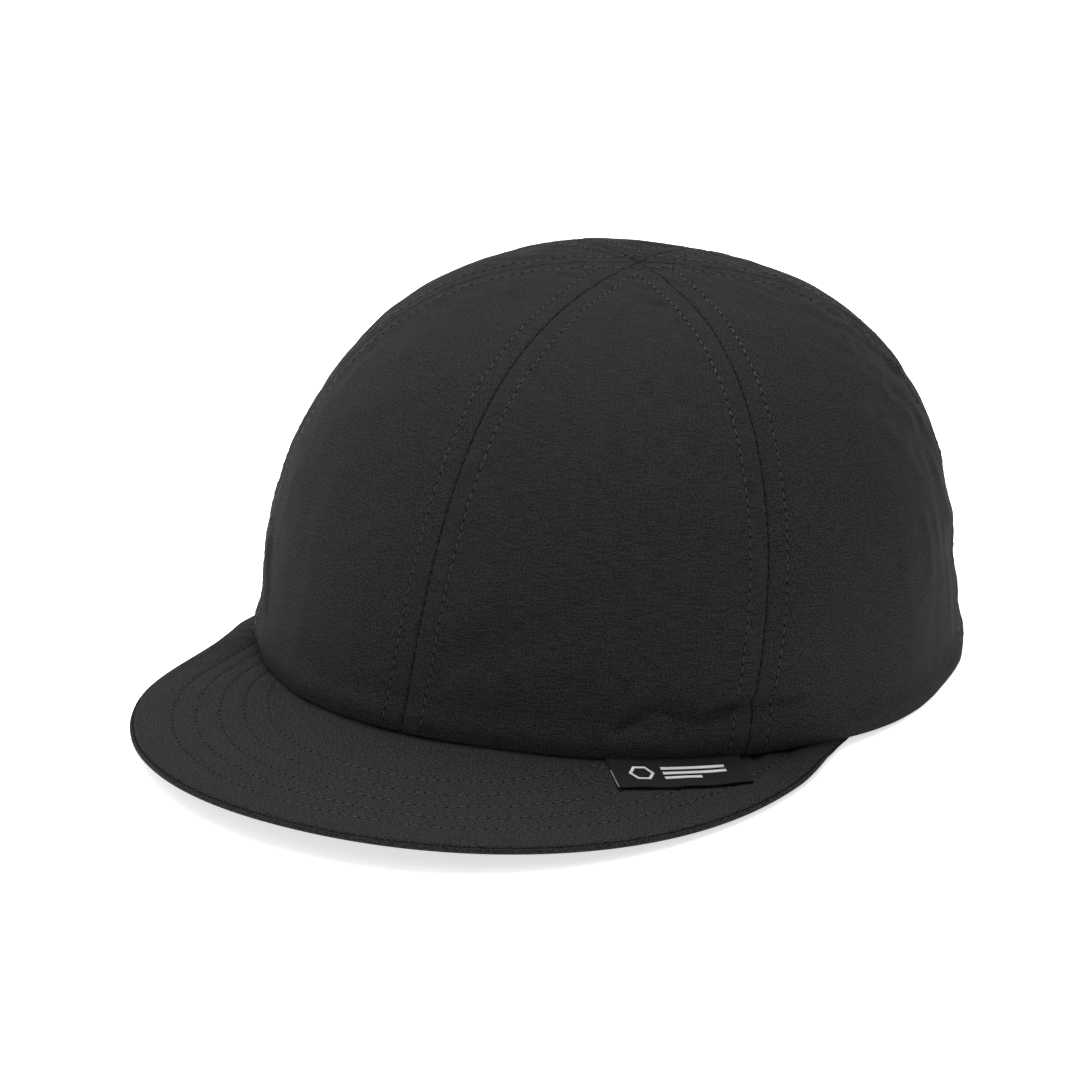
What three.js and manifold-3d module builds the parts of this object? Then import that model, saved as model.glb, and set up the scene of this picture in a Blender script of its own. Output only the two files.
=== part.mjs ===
// Bump cap: a six-panel fabric crown with a short stitched brim, worn over a vented hard
// insert that lies on foam pads. Front is -Y, the wearer's left is +X, up is +Z.
import * as THREE from 'three';
import { mergeVertices } from 'three/addons/utils/BufferGeometryUtils.js';
import Module from 'manifold-3d';

const wasm = await Module();
wasm.setup();

// ---- Driving dimensions, in millimetres and degrees ----

// Crown: a squared dome over an oval hem, leaning back a little on its rear hem
const hemHalfWidth = 91.7;
const hemHalfLength = 99.0;
const crownHeight = 104;
const apexSetback = 15;
const hemArch = 6.2;
const frontTaper = 0.094;
const leanBack = 3.43;
const squareness = { mean: 2.52, front: 0.23, ends: -0.125 };
const fullness = { mean: -0.033, front: 0.054, ends: -0.046 };
const bulgeTop = 0.9;
const sideSeamAngle = 58.3;
const sideSeamBow = 1.8;
const backSeamAngle = 120;
const fabric = 1.1;
const seamGap = 0.15;
const seamTuck = 2.6;
const panelTop = 0.985;

// Layers inside the crown, as depths under its outer face
const tapeWidth = 12;
const tape = { depth: 1.7, thick: 0.6, step: 1.0 };
const sweatband = { depth: 2.9, rearDepth: 5.6, thick: 1.3, height: 30, endAngle: 153 };
const rearStep = { from: 106, to: 120 };
const loopPatch = { depth: 1.7, thick: 1.3 };
const hookPatch = { depth: 3.4, thick: 1.8 };
const patchAngles = { front: 32, side: 78 };
const loopArea = { halfSpan: 6, heights: [47, 61] };
const hookArea = { halfSpan: 5, heights: [49, 59] };
const sizeTab = { angle: -97, halfSpan: 6.5, heights: [5, 29], depth: 4.6, thick: 0.5 };

// Hard insert: a vented shell with a lip along its edge, and its foam pads
const shell = { depth: 5.6, rearExtra: 4, thick: 2.0, lip: 0.9, lipHeight: 4 };
const shellEdge = { height: 41, rearRise: 12 };
const topVents = { count: 12, height: 88, width: 6, length: 22 };
const sideVents = { angles: [53, 116, 128, 140], height: 60, width: 5, length: 14 };
const pad = { depth: 8.4, thick: 5.0 };
const sidePad = { angle: 90, halfSpan: 22, heights: [46, 66] };
const frontPad = { angle: 0, halfSpan: 24, heights: [45, 64] };
const rearPad = { angle: 180, halfSpan: 22, heights: [60, 76] };
const topPadStart = 0.74;

// Brim: upper cover, stiffener board and lower cover, one outline
const brimDepth = 53.7;
const brimHalfAngle = 85.9;
const brimShape = { power: 2.32, ends: 2.0 };
const brimSway = { angle: 60, spread: 9.3, right: -6.8 };
const brimSlope = 0.345;
const brimSideSlope = 0.016;
const brimCup = -0.15;
const brimEndShare = 0.91;
const brimSeamGap = 0.35;
const brimThick = 3.0;
const brimLipThick = 1.7;
const brimCoverThick = 0.7;
const brimLipWidth = 5;
const brimEdgeLift = 2.6;
const boardInset = 5.6;
const boardEndShare = 0.66;
const boardThick = 0.8;
const label = { angle: 46.3, width: 37, depth: 14.5, start: 0.9, gap: 0.35, thick: 0.6 };

// Rear opening and size adjuster: the strap is part of a cone about the crown's own axis
const archHalfWidth = 42;
const archTop = 52;
const facing = { width: 8, from: 142, to: 218 };
const strap = { width: 14, height: 15.5, depth: 3.55, thick: 1.1, from: -42, to: 36 };
const cone = { radius: 96.4, slope: 0.2 };
const buckleAngle = 12;

// Ground: the hem is trimmed flat where the cap stands
const groundHeight = -1.15;
const originY = -26.04;

const radians = THREE.MathUtils.degToRad;

// ---- Materials ----

const finish = (color, roughness, metalness = 0) => (
  new THREE.MeshStandardMaterial({ color, roughness, metalness })
);
const nylon = finish(0x2c2c2e, 0.85);
const nylonBrim = finish(0x303032, 0.85);
const tapeCloth = finish(0x232325, 0.9);
const sweatCloth = finish(0x29292c, 0.95);
const webbing = finish(0x26262a, 0.9);
const abs = finish(0x1b1c1e, 0.45);
const foam = finish(0x3a3b3e, 1.0);
const hookLoop = finish(0x18181a, 0.95);
const board = finish(0x8d8f92, 0.6);
const blackMetal = finish(0x202124, 0.4, 0.9);
const labelCloth = finish(0x141416, 0.8);
const tabCloth = finish(0xd8d8d4, 0.85);

// ---- The crown surface ----

// A value that varies round the crown: a mean, a front-to-back part and a part at both ends
function roundCrown(terms, angle) {
  return terms.mean + terms.front * Math.cos(angle) + terms.ends * Math.cos(2 * angle);
}

// Height of the hem above the crown's base plane
function hemHeight(angle) {
  return hemArch * Math.cos(angle) ** 2;
}

// A point on the outer face. climb runs from 0 at the hem to 1 at the apex; below 0 it is a
// plain drop in millimetres under the hem line.
function crownPoint(angle, climb) {
  const turn = Math.max(climb, 0) * Math.PI / 2;
  const power = roundCrown(squareness, angle);
  const run = Math.max(Math.cos(turn), 0);
  const lift = Math.sin(turn);
  const reach = (run ** power + lift ** power) ** (-1 / power);
  const rise = lift * reach;
  const swell = Math.sin(Math.PI * Math.min(rise / bulgeTop, 1));
  const out = run * reach * (1 + roundCrown(fullness, angle) * swell);
  const width = hemHalfWidth * (1 - frontTaper * Math.cos(angle));
  return new THREE.Vector3(
    width * out * Math.sin(angle),
    -hemHalfLength * out * Math.cos(angle) + apexSetback * rise,
    hemHeight(angle) * (1 - rise) + crownHeight * rise + Math.min(climb, 0),
  );
}

// The outward normal of the crown; close to the apex it turns smoothly to straight up
function crownNormal(angle, climb) {
  const low = THREE.MathUtils.clamp(climb, 0.001, 0.96);
  const step = 0.0005;
  const along = crownPoint(angle + step, low).sub(crownPoint(angle - step, low));
  const upward = crownPoint(angle, low + step).sub(crownPoint(angle, low - step));
  const normal = along.cross(upward).normalize();
  const nearApex = THREE.MathUtils.clamp((climb - 0.96) / 0.04, 0, 1);
  return normal.lerp(new THREE.Vector3(0, 0, 1), nearApex).normalize();
}

function underCrown(angle, climb, depth) {
  return crownPoint(angle, climb).addScaledVector(crownNormal(angle, climb), -depth);
}

// The climb at which the crown reaches a given height
function climbAt(angle, height) {
  const hem = hemHeight(angle);
  const power = roundCrown(squareness, angle);
  const rise = THREE.MathUtils.clamp((height - hem) / (crownHeight - hem), 0, 1);
  return Math.atan2(rise, (1 - rise ** power) ** (1 / power)) * 2 / Math.PI;
}

// ---- Closed solids from grids of points ----

// Turns triangles to face outwards and returns the geometry
function closedGeometry(points, faces) {
  let volume = 0;
  const cross = new THREE.Vector3();
  for (const [a, b, c] of faces) {
    volume += points[a].dot(cross.crossVectors(points[b], points[c]));
  }
  const ordered = volume < 0 ? faces.map(([a, b, c]) => [a, c, b]) : faces;
  const geometry = new THREE.BufferGeometry();
  geometry.setFromPoints(points);
  geometry.setIndex(ordered.flat());
  geometry.computeVertexNormals();
  return geometry;
}

// A slab: place(u, v, side) gives a point for u and v from 0 to 1 on side 0 or side 1
function slab(columns, rows, place) {
  const points = [];
  const faces = [];
  const index = (side, i, j) => (side * (columns + 1) + i) * (rows + 1) + j;
  for (const side of [0, 1]) {
    for (let i = 0; i <= columns; i += 1) {
      for (let j = 0; j <= rows; j += 1) {
        points.push(place(i / columns, j / rows, side));
      }
    }
  }
  const quad = (a, b, c, d) => faces.push([a, b, c], [a, c, d]);
  for (let i = 0; i < columns; i += 1) {
    for (let j = 0; j < rows; j += 1) {
      quad(index(0, i, j), index(0, i + 1, j), index(0, i + 1, j + 1), index(0, i, j + 1));
      quad(index(1, i, j), index(1, i, j + 1), index(1, i + 1, j + 1), index(1, i + 1, j));
    }
    quad(index(0, i + 1, 0), index(0, i, 0), index(1, i, 0), index(1, i + 1, 0));
    quad(index(0, i, rows), index(0, i + 1, rows), index(1, i + 1, rows), index(1, i, rows));
  }
  for (let j = 0; j < rows; j += 1) {
    quad(index(0, 0, j), index(0, 0, j + 1), index(1, 0, j + 1), index(1, 0, j));
    const above = j + 1;
    quad(index(0, columns, above), index(0, columns, j), index(1, columns, j), index(1, columns, above));
  }
  return closedGeometry(points, faces);
}

// A dome with a rim: rings of points that end in one point at the top of each side
function dome(columns, rows, place) {
  const points = [];
  const faces = [];
  const index = (side, i, j) => (side * columns + (i % columns)) * rows + j;
  for (const side of [0, 1]) {
    for (let i = 0; i < columns; i += 1) {
      for (let j = 0; j < rows; j += 1) {
        points.push(place(i / columns, j / rows, side));
      }
    }
  }
  const tips = [0, 1].map((side) => points.push(place(0, 1, side)) - 1);
  const quad = (a, b, c, d) => faces.push([a, b, c], [a, c, d]);
  for (let i = 0; i < columns; i += 1) {
    for (let j = 0; j < rows - 1; j += 1) {
      quad(index(0, i, j), index(0, i + 1, j), index(0, i + 1, j + 1), index(0, i, j + 1));
      quad(index(1, i, j), index(1, i, j + 1), index(1, i + 1, j + 1), index(1, i + 1, j));
    }
    faces.push([index(0, i, rows - 1), index(0, i + 1, rows - 1), tips[0]]);
    faces.push([index(1, i + 1, rows - 1), index(1, i, rows - 1), tips[1]]);
    quad(index(0, i + 1, 0), index(0, i, 0), index(1, i, 0), index(1, i + 1, 0));
  }
  return closedGeometry(points, faces);
}

// ---- Cutting and joining ----

function toSolid(geometry) {
  const bare = geometry.clone();
  bare.deleteAttribute('normal');
  bare.deleteAttribute('uv');
  const merged = mergeVertices(bare, 1e-4);
  return new wasm.Manifold(new wasm.Mesh({
    numProp: 3,
    vertProperties: new Float32Array(merged.attributes.position.array),
    triVerts: new Uint32Array(merged.index.array),
  }));
}

function toGeometry(solid) {
  const mesh = solid.getMesh();
  const geometry = new THREE.BufferGeometry();
  geometry.setAttribute('position', new THREE.BufferAttribute(mesh.vertProperties, 3));
  geometry.setIndex(new THREE.BufferAttribute(mesh.triVerts, 1));
  geometry.computeVertexNormals();
  return geometry;
}

const cut = (geometry, ...tools) => toGeometry(
  tools.reduce((solid, tool) => solid.subtract(toSolid(tool)), toSolid(geometry)),
);
const join = (...pieces) => toGeometry(pieces.map(toSolid).reduce((a, b) => a.add(b)));
const keepInside = (geometry, tool) => toGeometry(toSolid(geometry).intersect(toSolid(tool)));

// Everything under the ground plane, seen from the leaning crown
function groundBlock() {
  const size = 400;
  const block = new THREE.BoxGeometry(size, size, size);
  block.translate(0, 0, groundHeight - size / 2);
  block.rotateX(radians(leanBack));
  return block;
}

// The rear arch as a prism that runs out through the back of the crown, grown by a margin
function archPrism(margin) {
  const outline = new THREE.Shape();
  const base = hemArch;
  const skirt = 30;
  outline.moveTo(-archHalfWidth - margin, base - skirt);
  outline.lineTo(archHalfWidth + margin, base - skirt);
  outline.lineTo(archHalfWidth + margin, base);
  outline.absellipse(0, base, archHalfWidth + margin, archTop - base + margin, 0, Math.PI, false, 0);
  outline.closePath();
  const prism = new THREE.ExtrudeGeometry(outline, { depth: 90, bevelEnabled: false, curveSegments: 20 });
  prism.rotateX(Math.PI / 2);
  prism.translate(0, 130, 0);
  return prism;
}

// ---- Fabric crown ----

const frontSeam = () => 0;
const sideSeam = (climb) => sideSeamAngle + sideSeamBow * 4 * climb * (1 - climb);
const backSeam = () => backSeamAngle;
const rearSeam = () => 180;

// One panel between two seams; hand is +1 on the wearer's left and -1 on the right
function crownPanel(firstSeam, secondSeam, hand, tuck) {
  const columns = 8;
  const rows = 13;
  return slab(columns, rows, (u, v, side) => {
    const climb = v === 0 ? -tuck : panelTop * ((v * rows - 1) / (rows - 1));
    const level = Math.max(climb, 0);
    const radius = hemHalfWidth * Math.cos(level * Math.PI / 2);
    const margin = THREE.MathUtils.radToDeg(seamGap / radius);
    const angle = THREE.MathUtils.lerp(firstSeam(level) + margin, secondSeam(level) - margin, u);
    return underCrown(hand * radians(angle), climb, side * fabric);
  });
}

function backPanel(hand) {
  return cut(crownPanel(backSeam, rearSeam, hand, 0), archPrism(0), groundBlock());
}

// A tape along the inside of two opposite seams, right over the top; layers stack at the apex
function seamTape(firstAngle, secondAngle, firstStart, secondStart, layer) {
  const rows = 30;
  const flatness = 180;
  const station = (v) => {
    const first = v < 0.5;
    const climb = first ? THREE.MathUtils.lerp(firstStart, 1, v * 2)
      : THREE.MathUtils.lerp(1, secondStart, v * 2 - 1);
    return { angle: radians(first ? firstAngle : secondAngle), climb };
  };
  const onFace = (v) => {
    const { angle, climb } = station(THREE.MathUtils.clamp(v, 0, 1));
    return crownPoint(angle, climb);
  };
  return slab(2, rows, (u, v, side) => {
    const { angle, climb } = station(v);
    const normal = crownNormal(angle, climb);
    const along = onFace(v + 0.004).sub(onFace(v - 0.004)).normalize();
    const across = normal.clone().cross(along).normalize();
    const offset = (u - 0.5) * tapeWidth;
    const stacked = layer * tape.step * THREE.MathUtils.smoothstep(climb, 0.7, 0.9);
    const depth = tape.depth + stacked + offset ** 2 / flatness + side * tape.thick;
    return crownPoint(angle, climb).addScaledVector(across, offset).addScaledVector(normal, -depth);
  });
}

// The facing turned in round the rear arch
function archFacing() {
  const band = slab(16, 6, (u, v, side) => {
    const angle = radians(THREE.MathUtils.lerp(facing.from, facing.to, u));
    const height = THREE.MathUtils.lerp(hemHeight(angle) + 1, archTop + 2 * facing.width, v);
    return underCrown(angle, climbAt(angle, height), tape.depth + side * tape.thick);
  });
  return cut(keepInside(band, archPrism(facing.width)), archPrism(0.2));
}

// The sweatband runs round the inside of the hem and makes room for the strap at the rear
function sweatBand() {
  return slab(38, 2, (u, v, side) => {
    const angle = sweatband.endAngle * (2 * u - 1);
    const rearward = THREE.MathUtils.smoothstep(Math.abs(angle), rearStep.from, rearStep.to);
    const depth = THREE.MathUtils.lerp(sweatband.depth, sweatband.rearDepth, rearward);
    const turn = radians(angle);
    const height = hemHeight(turn) + 1 + v * sweatband.height * (1 - hemHeight(turn) / crownHeight);
    return underCrown(turn, climbAt(turn, height), depth + side * sweatband.thick);
  });
}

// A patch that follows the crown round a centre angle; area gives its half span and heights
function crownPatch(centre, area, layer) {
  return slab(4, 2, (u, v, side) => {
    const angle = radians(centre + area.halfSpan * (2 * u - 1));
    const height = THREE.MathUtils.lerp(area.heights[0], area.heights[1], v);
    return underCrown(angle, climbAt(angle, height), layer.depth + side * layer.thick);
  });
}

// ---- Brim ----

// Outline reach from the hem: full at the front and fading to nothing at the sides. The soft
// brim lies a little unevenly: it is drawn in beside the wearer's right temple.
function brimReach(share) {
  const even = brimDepth * (1 - Math.abs(share) ** brimShape.power) ** brimShape.ends;
  const fromMiddle = Math.abs(share) * brimHalfAngle - brimSway.angle;
  const bell = Math.exp(-((fromMiddle / brimSway.spread) ** 2));
  return even + (share < 0 ? brimSway.right * bell : 0);
}

// A point on the brim's middle surface, at a distance out from the hem
function brimPoint(angle, distance, lift) {
  const hem = crownPoint(angle, 0);
  const outward = new THREE.Vector3(hem.x / hemHalfWidth ** 2, hem.y / hemHalfLength ** 2, 0);
  outward.normalize();
  const slope = brimSlope + brimSideSlope * (1 - Math.cos(angle));
  const drop = distance * slope + brimCup * distance ** 2 / 50;
  return hem.addScaledVector(outward, distance).add(new THREE.Vector3(0, 0, lift - drop));
}

// One ply of the brim; level(halfThick, side) sets its height above the middle surface. The
// last row of a ply that reaches the rim covers the lip, where the brim thins.
function brimPly(columns, rows, endShare, inset, level) {
  return slab(columns, rows, (u, v, side) => {
    const share = (2 * u - 1) * endShare;
    const angle = radians(share * brimHalfAngle);
    const reach = brimReach(share);
    const near = brimSeamGap + inset;
    const far = Math.max(reach - inset, near + 0.6);
    const lipLeast = THREE.MathUtils.lerp(near, far, 0.6);
    const lipStart = inset > 0 ? far : Math.max(far - brimLipWidth, lipLeast);
    const inward = inset > 0 ? v : Math.min(v * rows / (rows - 1), 1);
    const distance = v === 1 ? far : THREE.MathUtils.lerp(near, lipStart, inward);
    const middle = brimEdgeLift * Math.min(distance / Math.max(reach, 6), 1) - brimThick / 2;
    const thick = v === 1 && inset === 0 ? brimLipThick : brimThick;
    return brimPoint(angle, distance, middle + level(thick / 2, side));
  });
}

const upperCover = () => cut(
  brimPly(30, 5, brimEndShare, 0, (half, side) => half - side * brimCoverThick),
  groundBlock(),
);
const lowerCover = () => cut(
  brimPly(30, 5, brimEndShare, 0, (half, side) => -half + side * brimCoverThick),
  groundBlock(),
);
const stiffener = () => brimPly(
  24, 4, boardEndShare, boardInset, (half, side) => (0.5 - side) * boardThick,
);

// The woven label is sewn into the brim seam on the wearer's left
function brimLabel() {
  return slab(8, 3, (u, v, side) => {
    const distance = label.start + v * (label.depth - label.start);
    const angle = radians(label.angle) + (u - 0.5) * label.width / (hemHalfLength - 3 + distance);
    const outer = distance / brimReach(THREE.MathUtils.radToDeg(angle) / brimHalfAngle);
    const top = brimEdgeLift * outer + label.gap;
    return brimPoint(angle, distance, top + side * label.thick);
  });
}

// ---- Hard insert ----

function shellDepth(angle, climb) {
  const rearward = ((1 - Math.cos(angle)) / 2) ** 2;
  return shell.depth + shell.rearExtra * rearward * (1 - climb);
}

function shellEdgeHeight(angle) {
  return shellEdge.height + shellEdge.rearRise * Math.max(0, -Math.cos(angle)) ** 3;
}

// A slot-shaped plug that points along the crown's normal
function ventPlug(angle, { height, width, length }) {
  const half = (length - width) / 2;
  const outline = new THREE.Shape();
  outline.absarc(0, half, width / 2, 0, Math.PI, false);
  outline.absarc(0, -half, width / 2, Math.PI, 2 * Math.PI, false);
  outline.closePath();
  const plug = new THREE.ExtrudeGeometry(outline, { depth: 30, bevelEnabled: false, curveSegments: 3 });
  plug.translate(0, 0, -24);
  const climb = climbAt(angle, height);
  const normal = crownNormal(angle, climb);
  const across = new THREE.Vector3(Math.cos(angle), Math.sin(angle), 0);
  across.addScaledVector(normal, -across.dot(normal)).normalize();
  const upward = normal.clone().cross(across);
  const basis = new THREE.Matrix4().makeBasis(across, upward, normal);
  plug.applyMatrix4(basis.setPosition(crownPoint(angle, climb)));
  return plug;
}

function bumpShell() {
  const rows = 9;
  const blank = dome(32, rows, (u, v, side) => {
    const angle = u * 2 * Math.PI;
    const edge = climbAt(angle, shellEdgeHeight(angle));
    const lipTop = climbAt(angle, shellEdgeHeight(angle) + shell.lipHeight);
    const above = (v * rows - 1) / (rows - 1);
    const climb = above < 0 ? edge : THREE.MathUtils.lerp(lipTop, 1, above);
    const lip = above < 0 ? shell.lip : 0;
    return underCrown(angle, climb, shellDepth(angle, climb) + side * (shell.thick + lip));
  });
  const plugs = [];
  for (let i = 0; i < topVents.count; i += 1) {
    plugs.push(ventPlug(radians((i + 0.5) * 360 / topVents.count), topVents));
  }
  for (const hand of [-1, 1]) {
    for (const angle of sideVents.angles) {
      plugs.push(ventPlug(hand * radians(angle), sideVents));
    }
  }
  return cut(blank, ...plugs);
}

// A point on the outer (side 0) or inner (side 1) face of a pad under the shell
function padPoint(angle, climb, side) {
  const depth = shellDepth(angle, climb) - shell.depth + pad.depth;
  return underCrown(angle, climb, depth + side * pad.thick);
}

function shellPad(place, hand = 1) {
  return slab(5, 2, (u, v, side) => {
    const angle = hand * radians(place.angle + place.halfSpan * (2 * u - 1));
    const height = THREE.MathUtils.lerp(place.heights[0], place.heights[1], v);
    return padPoint(angle, climbAt(angle, height), side);
  });
}

const topPad = () => dome(24, 4, (u, v, side) => (
  padPoint(u * 2 * Math.PI, THREE.MathUtils.lerp(topPadStart, 1, v), side)
));

// ---- Rear size adjuster ----

function coneRadius(height) {
  return cone.radius - cone.slope * (height - strap.height);
}

// The running strap: a band of the cone that turns about the crown's axis to change the size
function runningStrap() {
  return slab(26, 1, (u, v, side) => {
    const tipRound = Math.max(0, u - 0.95) * 40;
    const angle = radians(THREE.MathUtils.lerp(strap.from, strap.to, u));
    const height = strap.height + (v - 0.5) * (strap.width - tipRound);
    const radius = coneRadius(height) - strap.depth - side * strap.thick;
    return new THREE.Vector3(radius * Math.sin(angle), radius * Math.cos(angle), height);
  });
}

// The clasp is drawn in its own axes: x along the strap, y outwards, z across the strap;
// the middle of the strap's thickness is y = 0
const cheek = { inner: 7.4, outer: 8.6, low: -2.6, high: 4.6, half: 9.5 };
const leverPin = { x: -5.6, y: 3.1, radius: 0.8, clear: 1.15 };
const tabBar = { x: 8.6, y: 5.4, radius: 1.0 };

function boxBetween(low, high) {
  const box = new THREE.BoxGeometry(high[0] - low[0], high[1] - low[1], high[2] - low[2]);
  box.translate((high[0] + low[0]) / 2, (high[1] + low[1]) / 2, (high[2] + low[2]) / 2);
  return box;
}

function crossRod(x, y, radius, halfLength) {
  const rod = new THREE.CylinderGeometry(radius, radius, 2 * halfLength, 16);
  rod.rotateX(Math.PI / 2);
  rod.translate(x, y, 0);
  return rod;
}

// A cheek plate with a raised ear that carries the tab bar
function cheekPlate(low, high) {
  const outline = new THREE.Shape();
  outline.moveTo(-cheek.half, cheek.low);
  outline.lineTo(cheek.half + 0.8, cheek.low);
  outline.lineTo(cheek.half + 0.8, tabBar.y + 1.2);
  outline.lineTo(cheek.half - 2.8, tabBar.y + 1.2);
  outline.lineTo(cheek.half - 4, cheek.high);
  outline.lineTo(-cheek.half + 1.5, cheek.high);
  outline.lineTo(-cheek.half, cheek.high - 1.5);
  outline.closePath();
  const plate = new THREE.ExtrudeGeometry(outline, { depth: high - low, bevelEnabled: false });
  plate.translate(0, 0, low);
  return plate;
}

function claspFrame() {
  const frame = join(
    boxBetween([-cheek.half, cheek.low, -cheek.outer], [cheek.half, cheek.low + 1.1, cheek.outer]),
    cheekPlate(cheek.inner, cheek.outer),
    cheekPlate(-cheek.outer, -cheek.inner),
    crossRod(tabBar.x, tabBar.y, tabBar.radius, (cheek.inner + cheek.outer) / 2),
  );
  return cut(frame, crossRod(leverPin.x, leverPin.y, leverPin.clear, cheek.outer + 1));
}

function claspPin() {
  const half = cheek.outer + 0.3;
  const head = { radius: 1.5, thick: 0.6 };
  const profile = [
    new THREE.Vector2(0, -half - head.thick),
    new THREE.Vector2(head.radius, -half - head.thick),
    new THREE.Vector2(head.radius, -half),
    new THREE.Vector2(leverPin.radius, -half),
    new THREE.Vector2(leverPin.radius, half),
    new THREE.Vector2(head.radius, half),
    new THREE.Vector2(head.radius, half + head.thick),
    new THREE.Vector2(0, half + head.thick),
  ];
  const pin = new THREE.LatheGeometry(profile, 16);
  pin.rotateX(Math.PI / 2);
  pin.translate(leverPin.x, leverPin.y, 0);
  return pin;
}

// The lever: a cam round the pin with a finger plate over the strap
function claspLever() {
  const camRadius = 2.1;
  const plate = { bottom: 4.9, top: 6.1, end: 5.2 };
  const outline = new THREE.Shape();
  outline.moveTo(leverPin.x, leverPin.y - camRadius);
  outline.lineTo(leverPin.x + 1.2, leverPin.y - camRadius + 0.1);
  outline.lineTo(leverPin.x + 2.4, leverPin.y);
  outline.lineTo(leverPin.x + 2.6, plate.bottom);
  outline.lineTo(plate.end - 0.8, plate.bottom);
  outline.lineTo(plate.end, plate.bottom + 0.6);
  outline.lineTo(plate.end - 0.8, plate.top);
  outline.lineTo(leverPin.x, plate.top);
  outline.absarc(leverPin.x, leverPin.y, camRadius, radians(110), radians(270), false);
  outline.closePath();
  const bore = new THREE.Path();
  bore.absarc(leverPin.x, leverPin.y, leverPin.clear, 0, 2 * Math.PI, true);
  outline.holes.push(bore);
  const halfWidth = cheek.inner - 0.35;
  const lever = new THREE.ExtrudeGeometry(outline, {
    depth: 2 * halfWidth, bevelEnabled: false, curveSegments: 8,
  });
  lever.translate(0, 0, -halfWidth);
  return lever;
}

// The tab that holds the clasp: folded round the bar and sewn on the outside of the crown
function claspTab() {
  const inner = tabBar.radius + 0.3;
  const outer = inner + 1.0;
  const tail = 30;
  const halfPly = 0.95;
  const radius = cone.radius - strap.depth;
  const outline = new THREE.Shape();
  const joinAngle = Math.asin(halfPly / outer);
  const bend = (x) => (x * x - tabBar.x * tabBar.x) / (2 * radius);
  const start = tabBar.x + outer * Math.cos(joinAngle);
  outline.moveTo(start, tabBar.y + halfPly);
  outline.absarc(tabBar.x, tabBar.y, outer, joinAngle, 2 * Math.PI - joinAngle, false);
  const steps = 7;
  for (let i = 1; i <= steps; i += 1) {
    const x = THREE.MathUtils.lerp(start, tail, i / steps);
    outline.lineTo(x, tabBar.y - bend(x) - halfPly);
  }
  for (let i = steps; i >= 1; i -= 1) {
    const x = THREE.MathUtils.lerp(start, tail, i / steps);
    outline.lineTo(x, tabBar.y - bend(x) + halfPly);
  }
  outline.closePath();
  const bore = new THREE.Path();
  bore.absarc(tabBar.x, tabBar.y, inner, 0, 2 * Math.PI, true);
  outline.holes.push(bore);
  const halfWidth = cheek.inner - 0.5;
  const tab = new THREE.ExtrudeGeometry(outline, {
    depth: 2 * halfWidth, bevelEnabled: false, curveSegments: 8,
  });
  tab.translate(0, 0, -halfWidth);
  return tab;
}

// ---- Assembly ----

const cap = new THREE.Group();
cap.rotation.x = -radians(leanBack);
cap.position.set(0, -originY, -groundHeight);

function add(parent, name, geometry, material) {
  const mesh = new THREE.Mesh(geometry, material);
  mesh.name = name;
  parent.add(mesh);
}

const hemStart = 0.012;
const rearTapeStart = climbAt(Math.PI, archTop + facing.width + 1.5);
const tapeFront = sideSeamAngle + 1;
const tapeRear = sideSeamAngle - 178.3;

for (const [side, hand, layer] of [['left', 1, 1], ['right', -1, 2]]) {
  add(cap, `crown_front_${side}`, crownPanel(frontSeam, sideSeam, hand, seamTuck), nylon);
  add(cap, `crown_side_${side}`, cut(crownPanel(sideSeam, backSeam, hand, 0), groundBlock()), nylon);
  add(cap, `crown_back_${side}`, backPanel(hand), nylon);
  const crossTape = seamTape(hand * tapeFront, hand * tapeRear, hemStart, hemStart, layer);
  add(cap, `seam_tape_${side}`, crossTape, tapeCloth);
  for (const [place, angle] of Object.entries(patchAngles)) {
    const loopSide = crownPatch(hand * angle, loopArea, loopPatch);
    const hookSide = crownPatch(hand * angle, hookArea, hookPatch);
    add(cap, `loop_patch_${place}_${side}`, loopSide, hookLoop);
    add(cap, `hook_patch_${place}_${side}`, hookSide, hookLoop);
  }
  add(cap, `foam_pad_${side}`, shellPad(sidePad, hand), foam);
}

add(cap, 'seam_tape_middle', seamTape(0, 180, hemStart, rearTapeStart, 0), tapeCloth);
add(cap, 'rear_arch_facing', archFacing(), tapeCloth);
add(cap, 'sweatband', sweatBand(), sweatCloth);
add(cap, 'size_tab', crownPatch(sizeTab.angle, sizeTab, sizeTab), tabCloth);

add(cap, 'brim_upper_cover', upperCover(), nylonBrim);
add(cap, 'brim_board', stiffener(), board);
add(cap, 'brim_lower_cover', lowerCover(), nylonBrim);
add(cap, 'brim_label', brimLabel(), labelCloth);

add(cap, 'bump_shell', bumpShell(), abs);
add(cap, 'foam_pad_top', topPad(), foam);
add(cap, 'foam_pad_front', shellPad(frontPad), foam);
add(cap, 'foam_pad_rear', shellPad(rearPad), foam);

add(cap, 'adjuster_strap', runningStrap(), webbing);
const claspTurn = new THREE.Group();
claspTurn.rotation.z = -radians(buckleAngle);
const clasp = new THREE.Group();
clasp.position.set(0, cone.radius - strap.depth - strap.thick / 2, strap.height);
clasp.rotation.x = Math.atan(cone.slope);
claspTurn.add(clasp);
cap.add(claspTurn);
add(clasp, 'clasp_frame', claspFrame(), blackMetal);
add(clasp, 'clasp_pin', claspPin(), blackMetal);
add(clasp, 'clasp_lever', claspLever(), blackMetal);
add(clasp, 'clasp_tab', claspTab(), webbing);

export default cap;
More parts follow.
